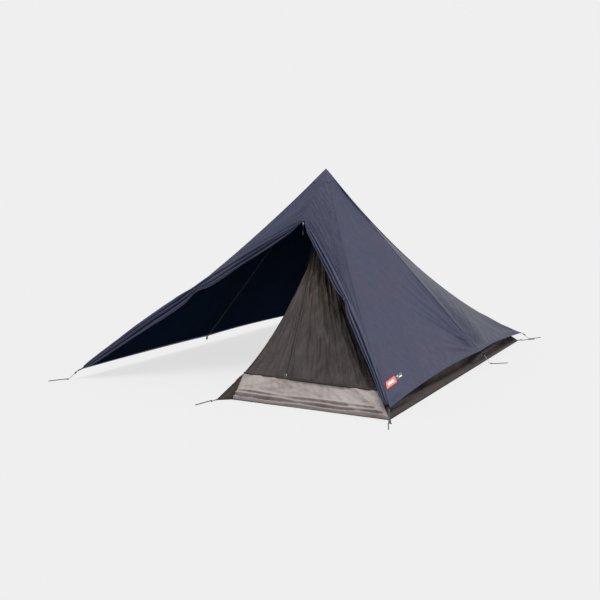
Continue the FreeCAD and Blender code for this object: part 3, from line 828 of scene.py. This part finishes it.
def door_roll(name):
    corner, side, small, extra, seed = DOORS[name][:5]
    first, last = 0.012, 0.985

    def place(u, v):
        share = first + (last - first) * u
        point, _, down, out = roll_frame(corner, side, share)
        thin_ends = ease((share + 0.02) / 0.10) * ease((1.02 - share) / 0.07)
        size = roll_size(side, share, small, extra) * thin_ends
        low, high = smooth_section(ROLL_SECTION, v)
        low += 0.22 * rumple(share * 5.0, v * 5.0, seed) + 0.07 * rumple(share * 23, v * 7, seed + 1)
        high += 0.22 * rumple(share * 6.0, v * 5.0, seed + 2) + 0.08 * rumple(share * 27, v * 8, seed + 3)
        return point + down * (size * low * 1.05) + out * (size * high + 0.002)
    bm = bmesh.new()
    lay_grid(bm, 260, 60, place, 0, (1.45, 0.16), turn=side > 0)
    return piece(f"{name}_door_folds", bm, (FLY_OUT, FLY_IN_PAINTED_SHADE), slot="fly_cloth",
                 stands_for=(f"{name}_door_roll",), thickness=0.0009, lining=1, sinks="fly")


for name in DOORS:
    roll = door_roll(name)

# %% [markdown]
# ## Ribbons, toggles and the door's zip slider
# Webbing is the same everywhere on the tent: a flat ribbon along a short path. One helper makes it
# from a path, a width and the direction that its face looks in.

# %% Ribbon helper
def ribbon(name, path, face, width, thickness, finish, body="root", slot="black_webbing", stands_for=(),
           sinks=None, steps=6, crown=0.0):
    """A flat band along a smooth path. face is one vector that says which way it looks."""
    count = (len(path) - 1) * steps

    def middle(t):
        spot = max(0.0, min(1.0, t)) * (len(path) - 1)
        low = min(int(spot), len(path) - 2)
        t = spot - low
        p = [path[max(0, min(len(path) - 1, low + k))] for k in (-1, 0, 1, 2)]
        a, b, c, d = smooth_weights(t)
        return (p[0] * a + p[1] * b + p[2] * c + p[3] * d) / 2

    def place(u, v):
        along = (middle(v + 0.01) - middle(v - 0.01)).normalized()
        across = along.cross(face).normalized()
        return middle(v) + across * ((u - 0.5) * width) + face * (crown * (1 - (2 * u - 1) ** 2))
    bm = bmesh.new()
    length = sum((b - a).length for a, b in zip(path, path[1:]))
    lay_grid(bm, 4, count, place, 0, (width, length))
    return piece(name, bm, (finish,), body, slot, stands_for, thickness, 0, sinks)


def toggle_loop(name):
    """The flat band round the roll where it is tied."""
    corner, side, small, extra = DOORS[name][:4]
    point, along, down, out = roll_frame(corner, side, TIE)
    size = roll_size(side, TIE, small, extra)
    ring = []
    for k in range(17):
        turn = 2 * math.pi * k / 16
        below, ahead = 0.85 + 1.36 * math.cos(turn), 0.1 + 1.05 * math.sin(turn)
        ring.append(point + down * (size * below) + out * (size * ahead))
    bm = bmesh.new()

    def place(u, v):
        spot = v * 16
        low = min(int(spot), 15)
        middle = ring[low].lerp(ring[low + 1], spot - low)
        return middle + along * ((u - 0.5) * 0.006)
    lay_grid(bm, 3, 64, place, 0, (0.006, 0.14))
    weld(bm)
    return piece(f"{name}_tie_band", bm, (BLACK_WEB,), slot="black_webbing",
                 stands_for=(f"{name}_toggle_loop",), thickness=0.0012, sinks="fly")


for name in DOORS:
    toggle_loop(name)

# %% Toggle sticks
def toggle_stick(name):
    """A turned stick with a waist where its cord holds it."""
    corner, side = DOORS[name][:2]
    low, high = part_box(f"{name}_toggle")
    along = roll_frame(corner, side, TIE)[1]
    bm = bmesh.new()
    profile = ((0.0, 0.0), (0.0024, 0.0003), (0.0032, 0.0018), (0.0034, 0.0080), (0.0025, 0.0105),
               (0.0022, 0.0130), (0.0025, 0.0155), (0.0034, 0.0180), (0.0032, 0.0242), (0.0024, 0.0257),
               (0.0, 0.0260))
    points = [bm.verts.new((r, 0, z - 0.013)) for r, z in profile]
    edges = [bm.edges.new(pair) for pair in zip(points, points[1:])]
    bmesh.ops.spin(bm, geom=points + edges, cent=(0, 0, 0), axis=(0, 0, 1), angle=2 * math.pi, steps=24,
                   use_merge=True)
    weld(bm)
    bmesh.ops.recalc_face_normals(bm, faces=bm.faces)
    turn = along.to_track_quat("Z", "Y").to_matrix().to_4x4()
    bmesh.ops.transform(bm, matrix=Matrix.Translation((low + high) / 2) @ turn, verts=bm.verts)
    return piece(f"{name}_toggle_stick", bm, (BLACK_PLASTIC,), f"{name}_toggle", "black_plastic",
                 (f"{name}_toggle",), sinks="fly")


for name in DOORS:
    toggle_stick(name)

# %% [markdown]
# ## The inner tent's mesh walls
# The inner hangs beside the pole and fills the right half of the fly. Its walls are knitted mesh,
# cut a little too large on purpose, so that it drapes in long soft folds from its peak instead of
# standing flat. The four walls are one continuous sheet, and the door beside the front left seam is
# a sheet of its own, because it unzips.

# %% Mesh walls
INNER_ROWS = 84
INNER_GORES = {
    "front": (zip_side, INNER["front_right"], 96, 41, 1.0),
    "right": (INNER["front_right"], INNER["rear_right"], 96, 42, 0.8),
    "rear": (INNER["rear_right"], INNER["rear_left"], 72, 43, 0.9),
    "left": (INNER["rear_left"], INNER["front_left"], 96, 44, 0.6),
}
INNER_OUT = {"front": Vector((0.12, -0.60, 0.79)), "right": Vector((0.72, 0, 0.69)),
             "rear": Vector((0, 0.55, 0.83)), "left": Vector((-1, 0, 0.05))}


def mesh_height(u, down, amount, seed, width):
    """Loose folds that fan down from the peak, with a crinkle on top of them."""
    across = (u - 0.5) * 2
    fold = crease(across * 2.6 + rumple(u * 3, down * 3, seed) * 0.30, down * 1.1, seed, 2.0)
    fine = crease(across * 7.5 + rumple(u * 5, down * 7, seed + 1) * 0.6, down * 2.6, seed + 2, 2.4)
    crinkle = rumple(u * width * 26, down * 15, seed + 3)
    soft = rumple(u * 2.5, down * 2.2, seed + 4)
    swell = ease(down / 0.15)
    height = (fold - 0.3) * 0.020 + (fine - 0.3) * 0.010 * swell + crinkle * 0.0075 * swell + soft * 0.008
    return amount * height * inside(u, 1 - down, 0.05, 0.03, 0.10)


def inner_place(left, right, out, amount, seed, start=PEAK_SHARE):
    def place(u, v):
        down = 1 - v
        point = gore_point(left, right, u, down, 0.0, start)
        width = (right(1) - left(1)).length
        return point + out * mesh_height(u, down, amount, seed, width)
    return place


bm = bmesh.new()
for name, (left, right, columns, seed, amount) in INNER_GORES.items():
    place = inner_place(left, right, INNER_OUT[name].normalized(), amount, seed)
    size = ((right(1) - left(1)).length, (left(1) - left(0)).length)
    lay_grid(bm, columns, INNER_ROWS, place, 0 if name == "front" else 1, size)
weld(bm)
walls = piece("inner_mesh_walls", bm, (MESH, MESH_SIDE), slot="inner_mesh",
              stands_for=("mesh_front_panel", "mesh_right_wall", "mesh_rear_wall", "mesh_left_wall"),
              thickness=0.0008, sinks="inner")

bm = bmesh.new()
place = inner_place(INNER["front_left"], zip_side, INNER_OUT["front"].normalized(), 0.8, 46, ZIP_SHARE)
lay_grid(bm, 30, INNER_ROWS, place, 0, (0.28, 1.2))
weld(bm)
door = piece("inner_mesh_door", bm, (MESH,), slot="inner_mesh", stands_for=("mesh_door",), thickness=0.0008,
             sinks="inner")

# %% [markdown]
# Dark tape binds every edge of the mesh: down the four seams, and round the top of the tub.

# %% Inner seam tapes
INNER_NEXT = {
    "front_left": (zip_side, INNER["rear_left"]), "front_right": (INNER["rear_right"], zip_side),
    "rear_right": (INNER["rear_left"], INNER["front_right"]),
    "rear_left": (INNER["front_left"], INNER["rear_right"]),
}
for name, (one, other) in INNER_NEXT.items():
    first = ZIP_SHARE + 0.02 if name == "front_left" else PEAK_SHARE
    seam_tape(f"inner_tape_{name}", INNER[name], one, other, TAPE_BROWN, 0.0014, first, 1.0, 0.012, 90,
              "tub_cloth", "inner")

bm = bmesh.new()
INNER_RING = ("front_left", "front_right", "rear_right", "rear_left")


def inner_patch_point(u, v):
    place = u * len(INNER_RING)
    low = min(int(place), len(INNER_RING) - 1)
    share = 0.060 * (1 - v)
    point = INNER[INNER_RING[low]](share).lerp(INNER[INNER_RING[(low + 1) % 4]](share), place - low)
    away = point - Vector((INNER_PEAK.x + 0.010, INNER_PEAK.y, point.z - 0.02))
    return point + away.normalized() * 0.0018


lay_grid(bm, 64, 14, inner_patch_point, 0, (0.2, 0.08))
weld(bm)
piece("inner_peak_patch", bm, (TUB,), slot="tub_cloth", stands_for=("inner_apex_patch",), thickness=0.0014,
      sinks="inner")

# %% [markdown]
# ## The bathtub floor
# The floor turns up at its edges and makes a low wall that keeps water out. Three of its walls are
# the same dark coated cloth as the floor. The front one, a pale sill, is separate cloth: it hangs
# below the mesh and is slack enough to lie in two or three pleats near the ground.

# %% Tub walls and floor
TUB_CORE = Vector((0.276, -0.040, 0.230))


def foot_point(name):
    """A corner of the floor, a little inside its edge, just above the ground."""
    point = FOOT[name]
    inward = (TUB_CORE - point).normalized()
    return point + Vector((inward.x, inward.y, 0)) * 0.003 + UP * (FLOOR_TOP + 0.0002)


def low_wall(foot_a, foot_b, top_a, top_b, height_of):
    out = (foot_point(foot_b) - foot_point(foot_a)).cross(UP).normalized()

    def place(u, v):
        foot, top = foot_point(foot_a).lerp(foot_point(foot_b), u), TUB_TOP[top_a].lerp(TUB_TOP[top_b], u)
        point = foot.lerp(top, v)
        return point + (out + UP * 0.5).normalized() * height_of(u, v)
    return place


def tub_height(seed, length):
    def height_of(u, v):
        line = crease(v * 2.6 + rumple(u * 2.0, 0.3, seed) * 0.5, u * length * 0.8, seed, 2.0) * 0.014
        soft = rumple(u * length * 3, v * 2, seed + 1) * 0.008
        fine = rumple(u * length * 14, v * 5, seed + 2) * 0.0040
        sag = -0.010 * math.sin(math.pi * v)
        ends = ease(u * length / 0.06) * ease((1 - u) * length / 0.06)
        return (line + soft + fine + sag) * ease(v / 0.10) * ease((1 - v) / 0.12) * ends
    return height_of


PLEATS = ((0.09, 0.022, 0.045, 0.02), (0.24, 0.024, 0.050, -0.04), (0.38, 0.014, 0.045, 0.06))


def sill_height(u, v):
    """Pleats along the foot, and wrinkles that slant down from the two upper corners."""
    pleats = 0.0
    for middle, depth, width, slope in PLEATS:
        at = middle + slope * (u - 0.5) + 0.05 * rumple(u * 5, middle * 9, 52)
        pleats += depth * math.exp(-(((v - at) / width) ** 2)) * (1 + 0.5 * rumple(u * 6, middle * 5, 53))
    slant = crease(u * 6.0 - v * 1.3, v * 0.7, 54, 1.9) * 0.020 * ease((0.55 - u) / 0.5)
    slant += crease(u * 6.0 + v * 1.1, v * 0.6, 55, 1.9) * 0.018 * ease((u - 0.50) / 0.5)
    fine = rumple(u * 38, v * 7, 56) * 0.0040
    soft = rumple(u * 5, v * 2, 57) * 0.008
    edges = ease(v / 0.05) * ease((1 - v) / 0.06) * ease(u / 0.02) * ease((1 - u) / 0.02)
    return (pleats + slant + fine + soft - 0.008) * edges


bm = bmesh.new()
front_wall = low_wall("front_foot", "front_right", "front_left", "front_right", sill_height)
lay_grid(bm, 180, 44, front_wall, 0, (0.94, 0.17))
sill = piece("front_sill", bm, (SILL,), slot="sill_cloth", stands_for=("tub_front_wall",), thickness=0.0010)

TUB_SIDES = (("front_right", "rear_right", 240, 61, 2.65), ("rear_right", "rear_left", 90, 62, 0.97),
             ("rear_left", "front_left", 240, 63, 2.60))
bm = bmesh.new()
for foot_a, foot_b, columns, seed, length in TUB_SIDES:
    place = low_wall(foot_a, foot_b, foot_a, foot_b, tub_height(seed, length))
    lay_grid(bm, columns, 14, place, 0, (length, 0.15))
weld(bm)
tub = piece("tub_side_walls", bm, (TUB,), slot="tub_cloth",
            stands_for=("tub_right_wall", "tub_rear_wall", "tub_left_wall"), thickness=0.0010)


def gusset_point(u, v):
    foot = foot_point("front_left").lerp(foot_point("front_foot"), u)
    point = foot.lerp(TUB_TOP["front_left"], v)
    swell = 0.008 * rumple(u * 3, v * 3, 66) + 0.006 * crease(u * 2.2 + v, v, 67)
    out = Vector((-0.5, -0.7, 0.5)).normalized()
    return point + out * swell * ease(v / 0.1) * ease((1 - v) / 0.2) * ease(u / 0.1) * ease((1 - u) / 0.1)


bm = bmesh.new()
lay_grid(bm, 16, 24, gusset_point, 0, (0.10, 0.21))
weld(bm, 0.0001)
gusset = piece("tub_front_gusset", bm, (TUB,), slot="tub_cloth", stands_for=("tub_corner_gusset",),
               thickness=0.0010)


def floor_point(u, v):
    """The floor's plan: its front edge has one extra corner, near the left."""
    bend = 0.09
    if u < bend:
        front = FOOT["front_left"].lerp(FOOT["front_foot"], u / bend)
    else:
        front = FOOT["front_foot"].lerp(FOOT["front_right"], (u - bend) / (1 - bend))
    point = front.lerp(FOOT["rear_left"].lerp(FOOT["rear_right"], u), v)
    rise = 0.003 * crease(u * 3, v * 6, 71) + 0.0025 * max(0.0, rumple(u * 8, v * 20, 72))
    edges = ease(u / 0.04), ease((1 - u) / 0.04), ease(v / 0.02), ease((1 - v) / 0.02)
    return point + UP * (FLOOR_TOP + rise * edges[0] * edges[1] * edges[2] * edges[3])


bm = bmesh.new()
lay_grid(bm, 60, 120, floor_point, 0, (1.0, 2.7))
ground = piece("tub_floor", bm, (FLOOR,), slot="tub_cloth", stands_for=("groundsheet",), thickness=0.0018)

# %% [markdown]
# The binding over the joint of mesh and tub is a narrow tape, folded over both edges.

# %% Binding round the top of the tub
def binding(name, first, last, finish, columns, width=0.012):
    a, b = TUB_TOP[first], TUB_TOP[last]
    out = (b - a).cross(UP).normalized()

    def place(u, v):
        middle = a.lerp(b, u)
        round_it = Vector((out.x, out.y, 0)) * math.sin(math.pi * v) * 0.0030
        wander = UP * (0.0012 * rumple(u * 30, 0.5, 81))
        return middle + round_it + wander + UP * ((v - 0.55) * width)
    bm = bmesh.new()
    lay_grid(bm, columns, 6, place, 0, ((b - a).length, width))
    return piece(name, bm, (finish,), slot="tub_cloth")


for first, last, columns in (("front_left", "front_right", 90), ("front_right", "rear_right", 160),
                             ("rear_right", "rear_left", 70), ("rear_left", "front_left", 160)):
    binding(f"tub_binding_{first}", first, last, TAPE_BROWN, columns)

# %% [markdown]
# ## The inner door's zip
# A coil zip is two rows of small loops that hook into each other, sewn to two tapes. Each tooth is
# a little block across the line, and the rows are set half a tooth apart.

# %% Zip coil and its tape
ZIP_RUN = (ZIP_TOP - ZIP_FOOT).normalized()
ZIP_OUT = ZIP_RUN.cross(Vector((1, 0, 0))).normalized()
ZIP_OUT = ZIP_OUT if ZIP_OUT.y < 0 else -ZIP_OUT
ZIP_ACROSS = ZIP_RUN.cross(ZIP_OUT).normalized()
ZIP_LENGTH = (ZIP_TOP - ZIP_FOOT).length
TOOTH_PITCH = 0.0036

ZIP_COIL = plastic("zip_coil", (0.016, 0.014, 0.013), 0.7)
bm = bmesh.new()


def zip_tape_point(u, v):
    wave = 0.0006 * rumple(v * 40, u * 3, 91)
    along, across = v * (ZIP_LENGTH - 0.016), (u - 0.5) * 0.024
    return ZIP_FOOT + ZIP_RUN * along + ZIP_ACROSS * across + ZIP_OUT * (0.0012 + wave)


lay_grid(bm, 8, 200, zip_tape_point, 0, (0.024, ZIP_LENGTH), turn=True)
piece("inner_zip_tape", bm, (TAPE_BROWN,), slot="black_webbing", sinks="inner", thickness=0.0006)

bm = bmesh.new()
turn = Matrix((ZIP_ACROSS, ZIP_RUN, ZIP_OUT)).transposed().to_4x4()
teeth = int((ZIP_LENGTH - 0.030) / TOOTH_PITCH)
for k in range(teeth):
    for side in (-1, 1):
        along = 0.006 + TOOTH_PITCH * (k + 0.25 * side)
        at = ZIP_FOOT + ZIP_RUN * along + ZIP_ACROSS * (side * 0.0014) + ZIP_OUT * 0.0026
        size = Matrix.Diagonal((0.0034, 0.0013, 0.0018, 1))
        bmesh.ops.create_cube(bm, size=1.0, matrix=Matrix.Translation(at) @ turn @ size)
piece("inner_zip_teeth", bm, (ZIP_COIL,), slot="black_webbing", stands_for=("inner_zip_coil",),
      sinks="inner", smooth=False)
print("zip teeth", 2 * teeth)

# %% [markdown]
# ## Straps, loops and guylines
# The inner hangs from the fly's peak by a strap. Each corner of the tent ends in a doubled loop of
# webbing, from which a short cord runs down to a peg. The cords are pulled tight, so each is one
# almost straight curve.

# %% Hanging strap
STRAP_TOP = Vector((0.013, -0.016, 1.262))
STRAP_FOOT = INNER_PEAK + Vector((-0.001, 0.003, 0.036))
strap_face = Vector((0.4, -1, 0)).normalized()
path = [STRAP_TOP.lerp(STRAP_FOOT, k / 4) + strap_face * (0.004 * math.sin(math.pi * k / 4))
        for k in range(5)]
ribbon("peak_hang_strap", path, strap_face, 0.010, 0.0014, BLACK_WEB, stands_for=("inner_hang_strap",),
       sinks="fly", steps=10)

# %% Corner loops, pegs' loops and cords
STAKES = {
    "front_left": (CORNER["front_left"], Vector((-1.068, -1.402, 0))),
    "right": (SIDE_RIGHT, Vector((1.088, 0.300, 0))),
    "rear_right": (CORNER["rear_right"], Vector((1.076, 1.402, 0))),
    "rear_left": (CORNER["rear_left"], Vector((-1.084, 1.404, 0))),
}
CORD_WIDTH = 0.0026


def folded_loop(name, start, end, opening, width, stands_for=()):
    """A webbing loop: out along a line and back, open at its far end."""
    away = (end - start)
    up = away.cross(Vector((-away.y, away.x, 0))).normalized()
    up = up if up.z > 0 else -up
    middle = start.lerp(end, 0.55)
    path = [start + up * 0.0012, middle + up * opening,
            end - away.normalized() * 0.0015 + up * (opening * 0.8),
            end + away.normalized() * 0.0006, end - away.normalized() * 0.0015 - up * (opening * 0.8),
            middle - up * opening, start - up * 0.0012]
    return ribbon(name, path, up.cross(away).cross(away).normalized(), width, 0.0011, BLACK_WEB,
                  stands_for=stands_for, steps=5)


def cord_between(name, start, end, finish, stands_for):
    """A tight cord: a smooth curve through a few points that sag by less than its own width."""
    curve = bpy.data.curves.new(name, "CURVE")
    curve.dimensions = "3D"
    curve.bevel_depth = CORD_WIDTH / 2
    curve.bevel_resolution = 4
    curve.use_fill_caps = True
    spline = curve.splines.new("NURBS")
    places = [start.lerp(end, k / 4) - UP * (0.0009 * math.sin(math.pi * k / 4)) for k in range(5)]
    spline.points.add(len(places) - 1)
    for point, place in zip(spline.points, places):
        point.co = (*place, 1.0)
    spline.order_u = 3
    spline.use_endpoint_u = True
    spline.resolution_u = 8
    made = bpy.data.objects.new(name, curve)
    bpy.context.scene.collection.objects.link(made)
    curve.materials.append(finish)
    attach(made, "root")
    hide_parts(stands_for)
    return made


for number, (name, (point, hook)) in enumerate(STAKES.items()):
    away = Vector((hook.x - point.x, hook.y - point.y, 0)).normalized()
    start = point + away * 0.002 - UP * 0.002
    loop_end = start + away * 0.016 - UP * 0.006
    folded_loop(f"corner_loop_{name}", start - away * 0.010 + UP * 0.003, loop_end, 0.0024, 0.010,
                ("webbing_loops",) if number == 0 else ())
    cord_start = loop_end + away * 0.0004
    cord_end = hook + UP * 0.0035 - away * 0.0034
    finish = PALE_CORD if name == "right" else BLACK_CORD
    length = (cord_end - cord_start).length
    cord_between(f"guy_cord_{name}", cord_start, cord_end, finish, f"guyline_{name}")

# %% Loops of the inner tent and of the doorway
INNER_STAKES = {
    "front_left": (Vector((-0.16, -1, 0)), 0.030), "front_right": (Vector((0.40, -0.92, 0)), 0.060),
    "rear_right": (Vector((0.62, 0.78, 0)), 0.025), "rear_left": (Vector((-0.45, 0.89, 0)), 0.040),
}
for name, (direction, tab) in INNER_STAKES.items():
    away = direction.normalized()
    corner = FOOT[name]
    hops = ((-0.012, 0.0032), (0.004, 0.0024), (tab - 0.012, 0.0026), (tab - 0.002, 0.0058),
            (tab + 0.0035, 0.0072), (tab + 0.0085, 0.0052), (tab + 0.0095, 0.0020))
    path = [corner + away * run + UP * height for run, height in hops]
    ribbon(f"floor_loop_{name}", path, UP, 0.013, 0.0012, BLACK_WEB, steps=5)

away = INNER_STAKES["front_right"][0].normalized()
tab = INNER_STAKES["front_right"][1]
top = CORNER["front_right"] + away * 0.004 - UP * 0.002
foot = FOOT["front_right"] + away * (tab + 0.004) + UP * 0.009
ribbon("doorway_strap", [top.lerp(foot, k / 4) - UP * (0.002 * math.sin(math.pi * k / 4)) for k in range(5)],
       (UP + away).normalized(), 0.010, 0.0012, BLACK_WEB, steps=5)

slack = SIDE_LEFT + Vector((-0.003, 0, -0.001))
ring = [slack + Vector((-0.003 - 0.002 * math.sin(math.pi * k / 6), 0.007 * math.sin(2 * math.pi * k / 6),
                        -0.013 * (1 - math.cos(2 * math.pi * k / 6)))) for k in range(7)]
ribbon("left_side_loop", ring, Vector((-1, 0.05, 0)).normalized(), 0.009, 0.0011, BLACK_WEB, steps=5)

# %% [markdown]
# ## Two plain woven patches
# Two small patches are sewn end to end near the foot of the right wall. They carry only plain
# bars. Each follows the wall's own surface a little above it, so that it wrinkles with the cloth.

# %% Patches
def woven(name, colour):
    """Satin thread: a fine twill, lighter where it is worn."""
    finish = Finish(name, 0.55)
    finish.set("Sheen Weight", 0.4)
    x, y = finish.node("ShaderNodeSeparateXYZ", None, [finish.uv()])[:2]
    twill = finish.node("ShaderNodeMath", {"operation": "SINE"}, [(x + y) * 9000.0])[0]
    thread = finish.fit(twill, -1.0, 1.0)
    wear = finish.noise(finish.place(), 90.0, 3.0)
    light = tuple(min(1.0, c * 1.25 + 0.01) for c in colour)
    finish.set("Base Color", finish.blend(thread * 0.35 + wear * 0.35, colour, light))
    finish.set("Normal", finish.bump(thread, 0.00015, 0.7))
    return finish.material


PATCH_RED = woven("patch_red", (0.78, 0.085, 0.055))
PATCH_RED_EDGE = woven("patch_red_edge", (0.66, 0.060, 0.040))
PATCH_BLACK = woven("patch_black", (0.010, 0.011, 0.013))
PATCH_BLACK_EDGE = woven("patch_black_edge", (0.016, 0.017, 0.020))
PATCH_WHITE = woven("patch_white", (0.80, 0.80, 0.80))
PATCHES = {
    "red": (0.919, 0.081, 0.137, 0.060, PATCH_RED, PATCH_RED_EDGE, ((0.0, 0.0, 0.078, 0.020),)),
    "black": (0.9175, 0.164, 0.100, 0.042, PATCH_BLACK, PATCH_BLACK_EDGE,
              ((-0.020, 0.008, 0.022, 0.0060), (0.018, -0.008, 0.040, 0.011))),
}
wall_surface = fly_gore("right_front")[1]
wall_out = gore_frame(FLY["front_right"], FLY["right"])[2]


def on_wall(down, across, x, y, lift):
    """The point of the right wall that is x along and y up from a place on it."""
    wide = (FLY["right"](down) - FLY["front_right"](down)).length
    tall = (FLY["front_right"](1) - FLY["front_right"](0)).length
    return wall_surface(across + x / wide, row_of(down - y / tall)) + wall_out * lift


def patch_piece(name, down, across, x, y, wide, tall, finish, lift, stands_for=()):
    """A rectangle of the given size that lies on the wall, lift above it."""
    def place(u, v):
        return on_wall(down, across, x + (u - 0.5) * wide, y + (v - 0.5) * tall, lift)
    bm = bmesh.new()
    lay_grid(bm, max(8, int(wide / 0.003)), max(4, int(tall / 0.003)), place, 0, (wide, tall))
    return piece(name, bm, (finish,), slot=f"patch_{'red' if 'red' in name else 'black'}",
                 stands_for=stands_for, thickness=0.0008, sinks="fly")


for name, (down, across, long, high, face_finish, edge_finish, bars) in PATCHES.items():
    patch_piece(f"side_label_{name}", down, across, 0, 0, long, high, edge_finish, 0.0022,
                (f"side_patch_{name}",))
    patch_piece(f"side_label_{name}_face", down, across, 0, 0, long - 0.005, high - 0.005,
                face_finish, 0.0028)
    for number, (x, y, wide, tall) in enumerate(bars):
        patch_piece(f"side_label_{name}_bar_{number}", down, across, x, y, wide, tall, PATCH_WHITE, 0.0034)

# %% [markdown]
# ## The inner tent's hook
# The hook that carries the inner tent is moulded plastic, but it hangs from the peak, so when the
# pole is shortened it has to come down with the cloth. A copy of its shape, with a mesh of its own,
# stands in for the rigid one.

# %% Hook copy
bm = bmesh.new()
bm.from_mesh(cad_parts["inner_hook"].data)
bmesh.ops.transform(bm, matrix=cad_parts["inner_hook"].matrix_world, verts=bm.verts)
piece("inner_hook_clip", bm, (BLACK_PLASTIC,), slot="black_plastic", stands_for=("inner_hook",), sinks="fly")

# %% [markdown]
# ## Finishes of the hard parts
# The pole, its clamp, the pegs, the zip sliders and the line locks come straight from the frame, so
# all they need is a finish each.

# %% Hard parts
HARD = {
    "pole_lower_tube": POLE_METAL, "pole_upper_tube": POLE_METAL, "pole_guide_bush": BLACK_PLASTIC,
    "pole_tip": BLACK_PLASTIC, "pole_clamp": BLACK_PLASTIC, "pole_foot": RUBBER, "lever_pin": PIN_METAL,
    "lock_lever": GREY_PLASTIC, "ground_pegs": PEG_METAL,
    "door_zip_slider": ZIP_METAL, "door_zip_pull": BLACK_CORD, "inner_zip_slider": ZIP_METAL,
    "inner_zip_stop": ZIP_METAL, "inner_zip_pull": BLACK_PLASTIC,
}
for name in ("front_left", "right", "rear_right", "rear_left"):
    HARD[f"line_lock_{name}"] = BLACK_PLASTIC
for name, finish in HARD.items():
    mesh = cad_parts[name].data
    mesh.materials.clear()
    mesh.materials.append(finish)
print("hard parts", len(HARD))

# %% [markdown]
# ## Floor, light and camera
# The floor is a wide disc that glows about as brightly as the sky, so the horizon hardly shows and
# shadows on it stay faint. A large soft sun, almost straight overhead, gives the folds their
# shading. The camera stands low at the right of the open front.

# %% Stage
bm = bmesh.new()
bmesh.ops.create_circle(bm, cap_ends=True, cap_tris=False, segments=96, radius=90.0)
mesh = bpy.data.meshes.new("studio_floor")
bm.to_mesh(mesh)
bm.free()
studio = bpy.data.objects.new("studio_floor", mesh)
bpy.context.scene.collection.objects.link(studio)
studio_finish = Finish("studio_floor", 0.9, Base_Color=(0.10, 0.10, 0.10), Specular_IOR_Level=0.0,
                       Emission_Color=(1.0, 1.0, 1.0), Emission_Strength=0.701)
mesh.materials.append(studio_finish.material)

PALE = 0.865
world = bpy.data.worlds.new("pale_sky")
world.use_nodes = True
world.node_tree.nodes["Background"].inputs["Color"].default_value = (PALE, PALE, PALE, 1)
world.node_tree.nodes["Background"].inputs["Strength"].default_value = 1.0
bpy.context.scene.world = world

sun = bpy.data.lights.new("soft_sun", "SUN")
sun.energy = 2.4
sun.angle = math.radians(40)
sun_object = bpy.data.objects.new("soft_sun", sun)
sun_object.rotation_euler = Vector((-0.10, 0.02, -0.99)).to_track_quat("-Z", "Y").to_euler()
bpy.context.scene.collection.objects.link(sun_object)

camera = bpy.data.cameras.new("camera")
camera.lens, camera.sensor_width = 52.7, 36.0
camera.clip_end = 300
camera_object = bpy.data.objects.new("camera", camera)
camera_object.location = (2.699, -5.403, 1.173)
camera_object.rotation_euler = Vector((-0.4691, 0.8739, -0.1271)).to_track_quat("-Z", "Y").to_euler()
bpy.context.scene.collection.objects.link(camera_object)
bpy.context.scene.camera = camera_object
bpy.context.scene.view_settings.view_transform = "Standard"
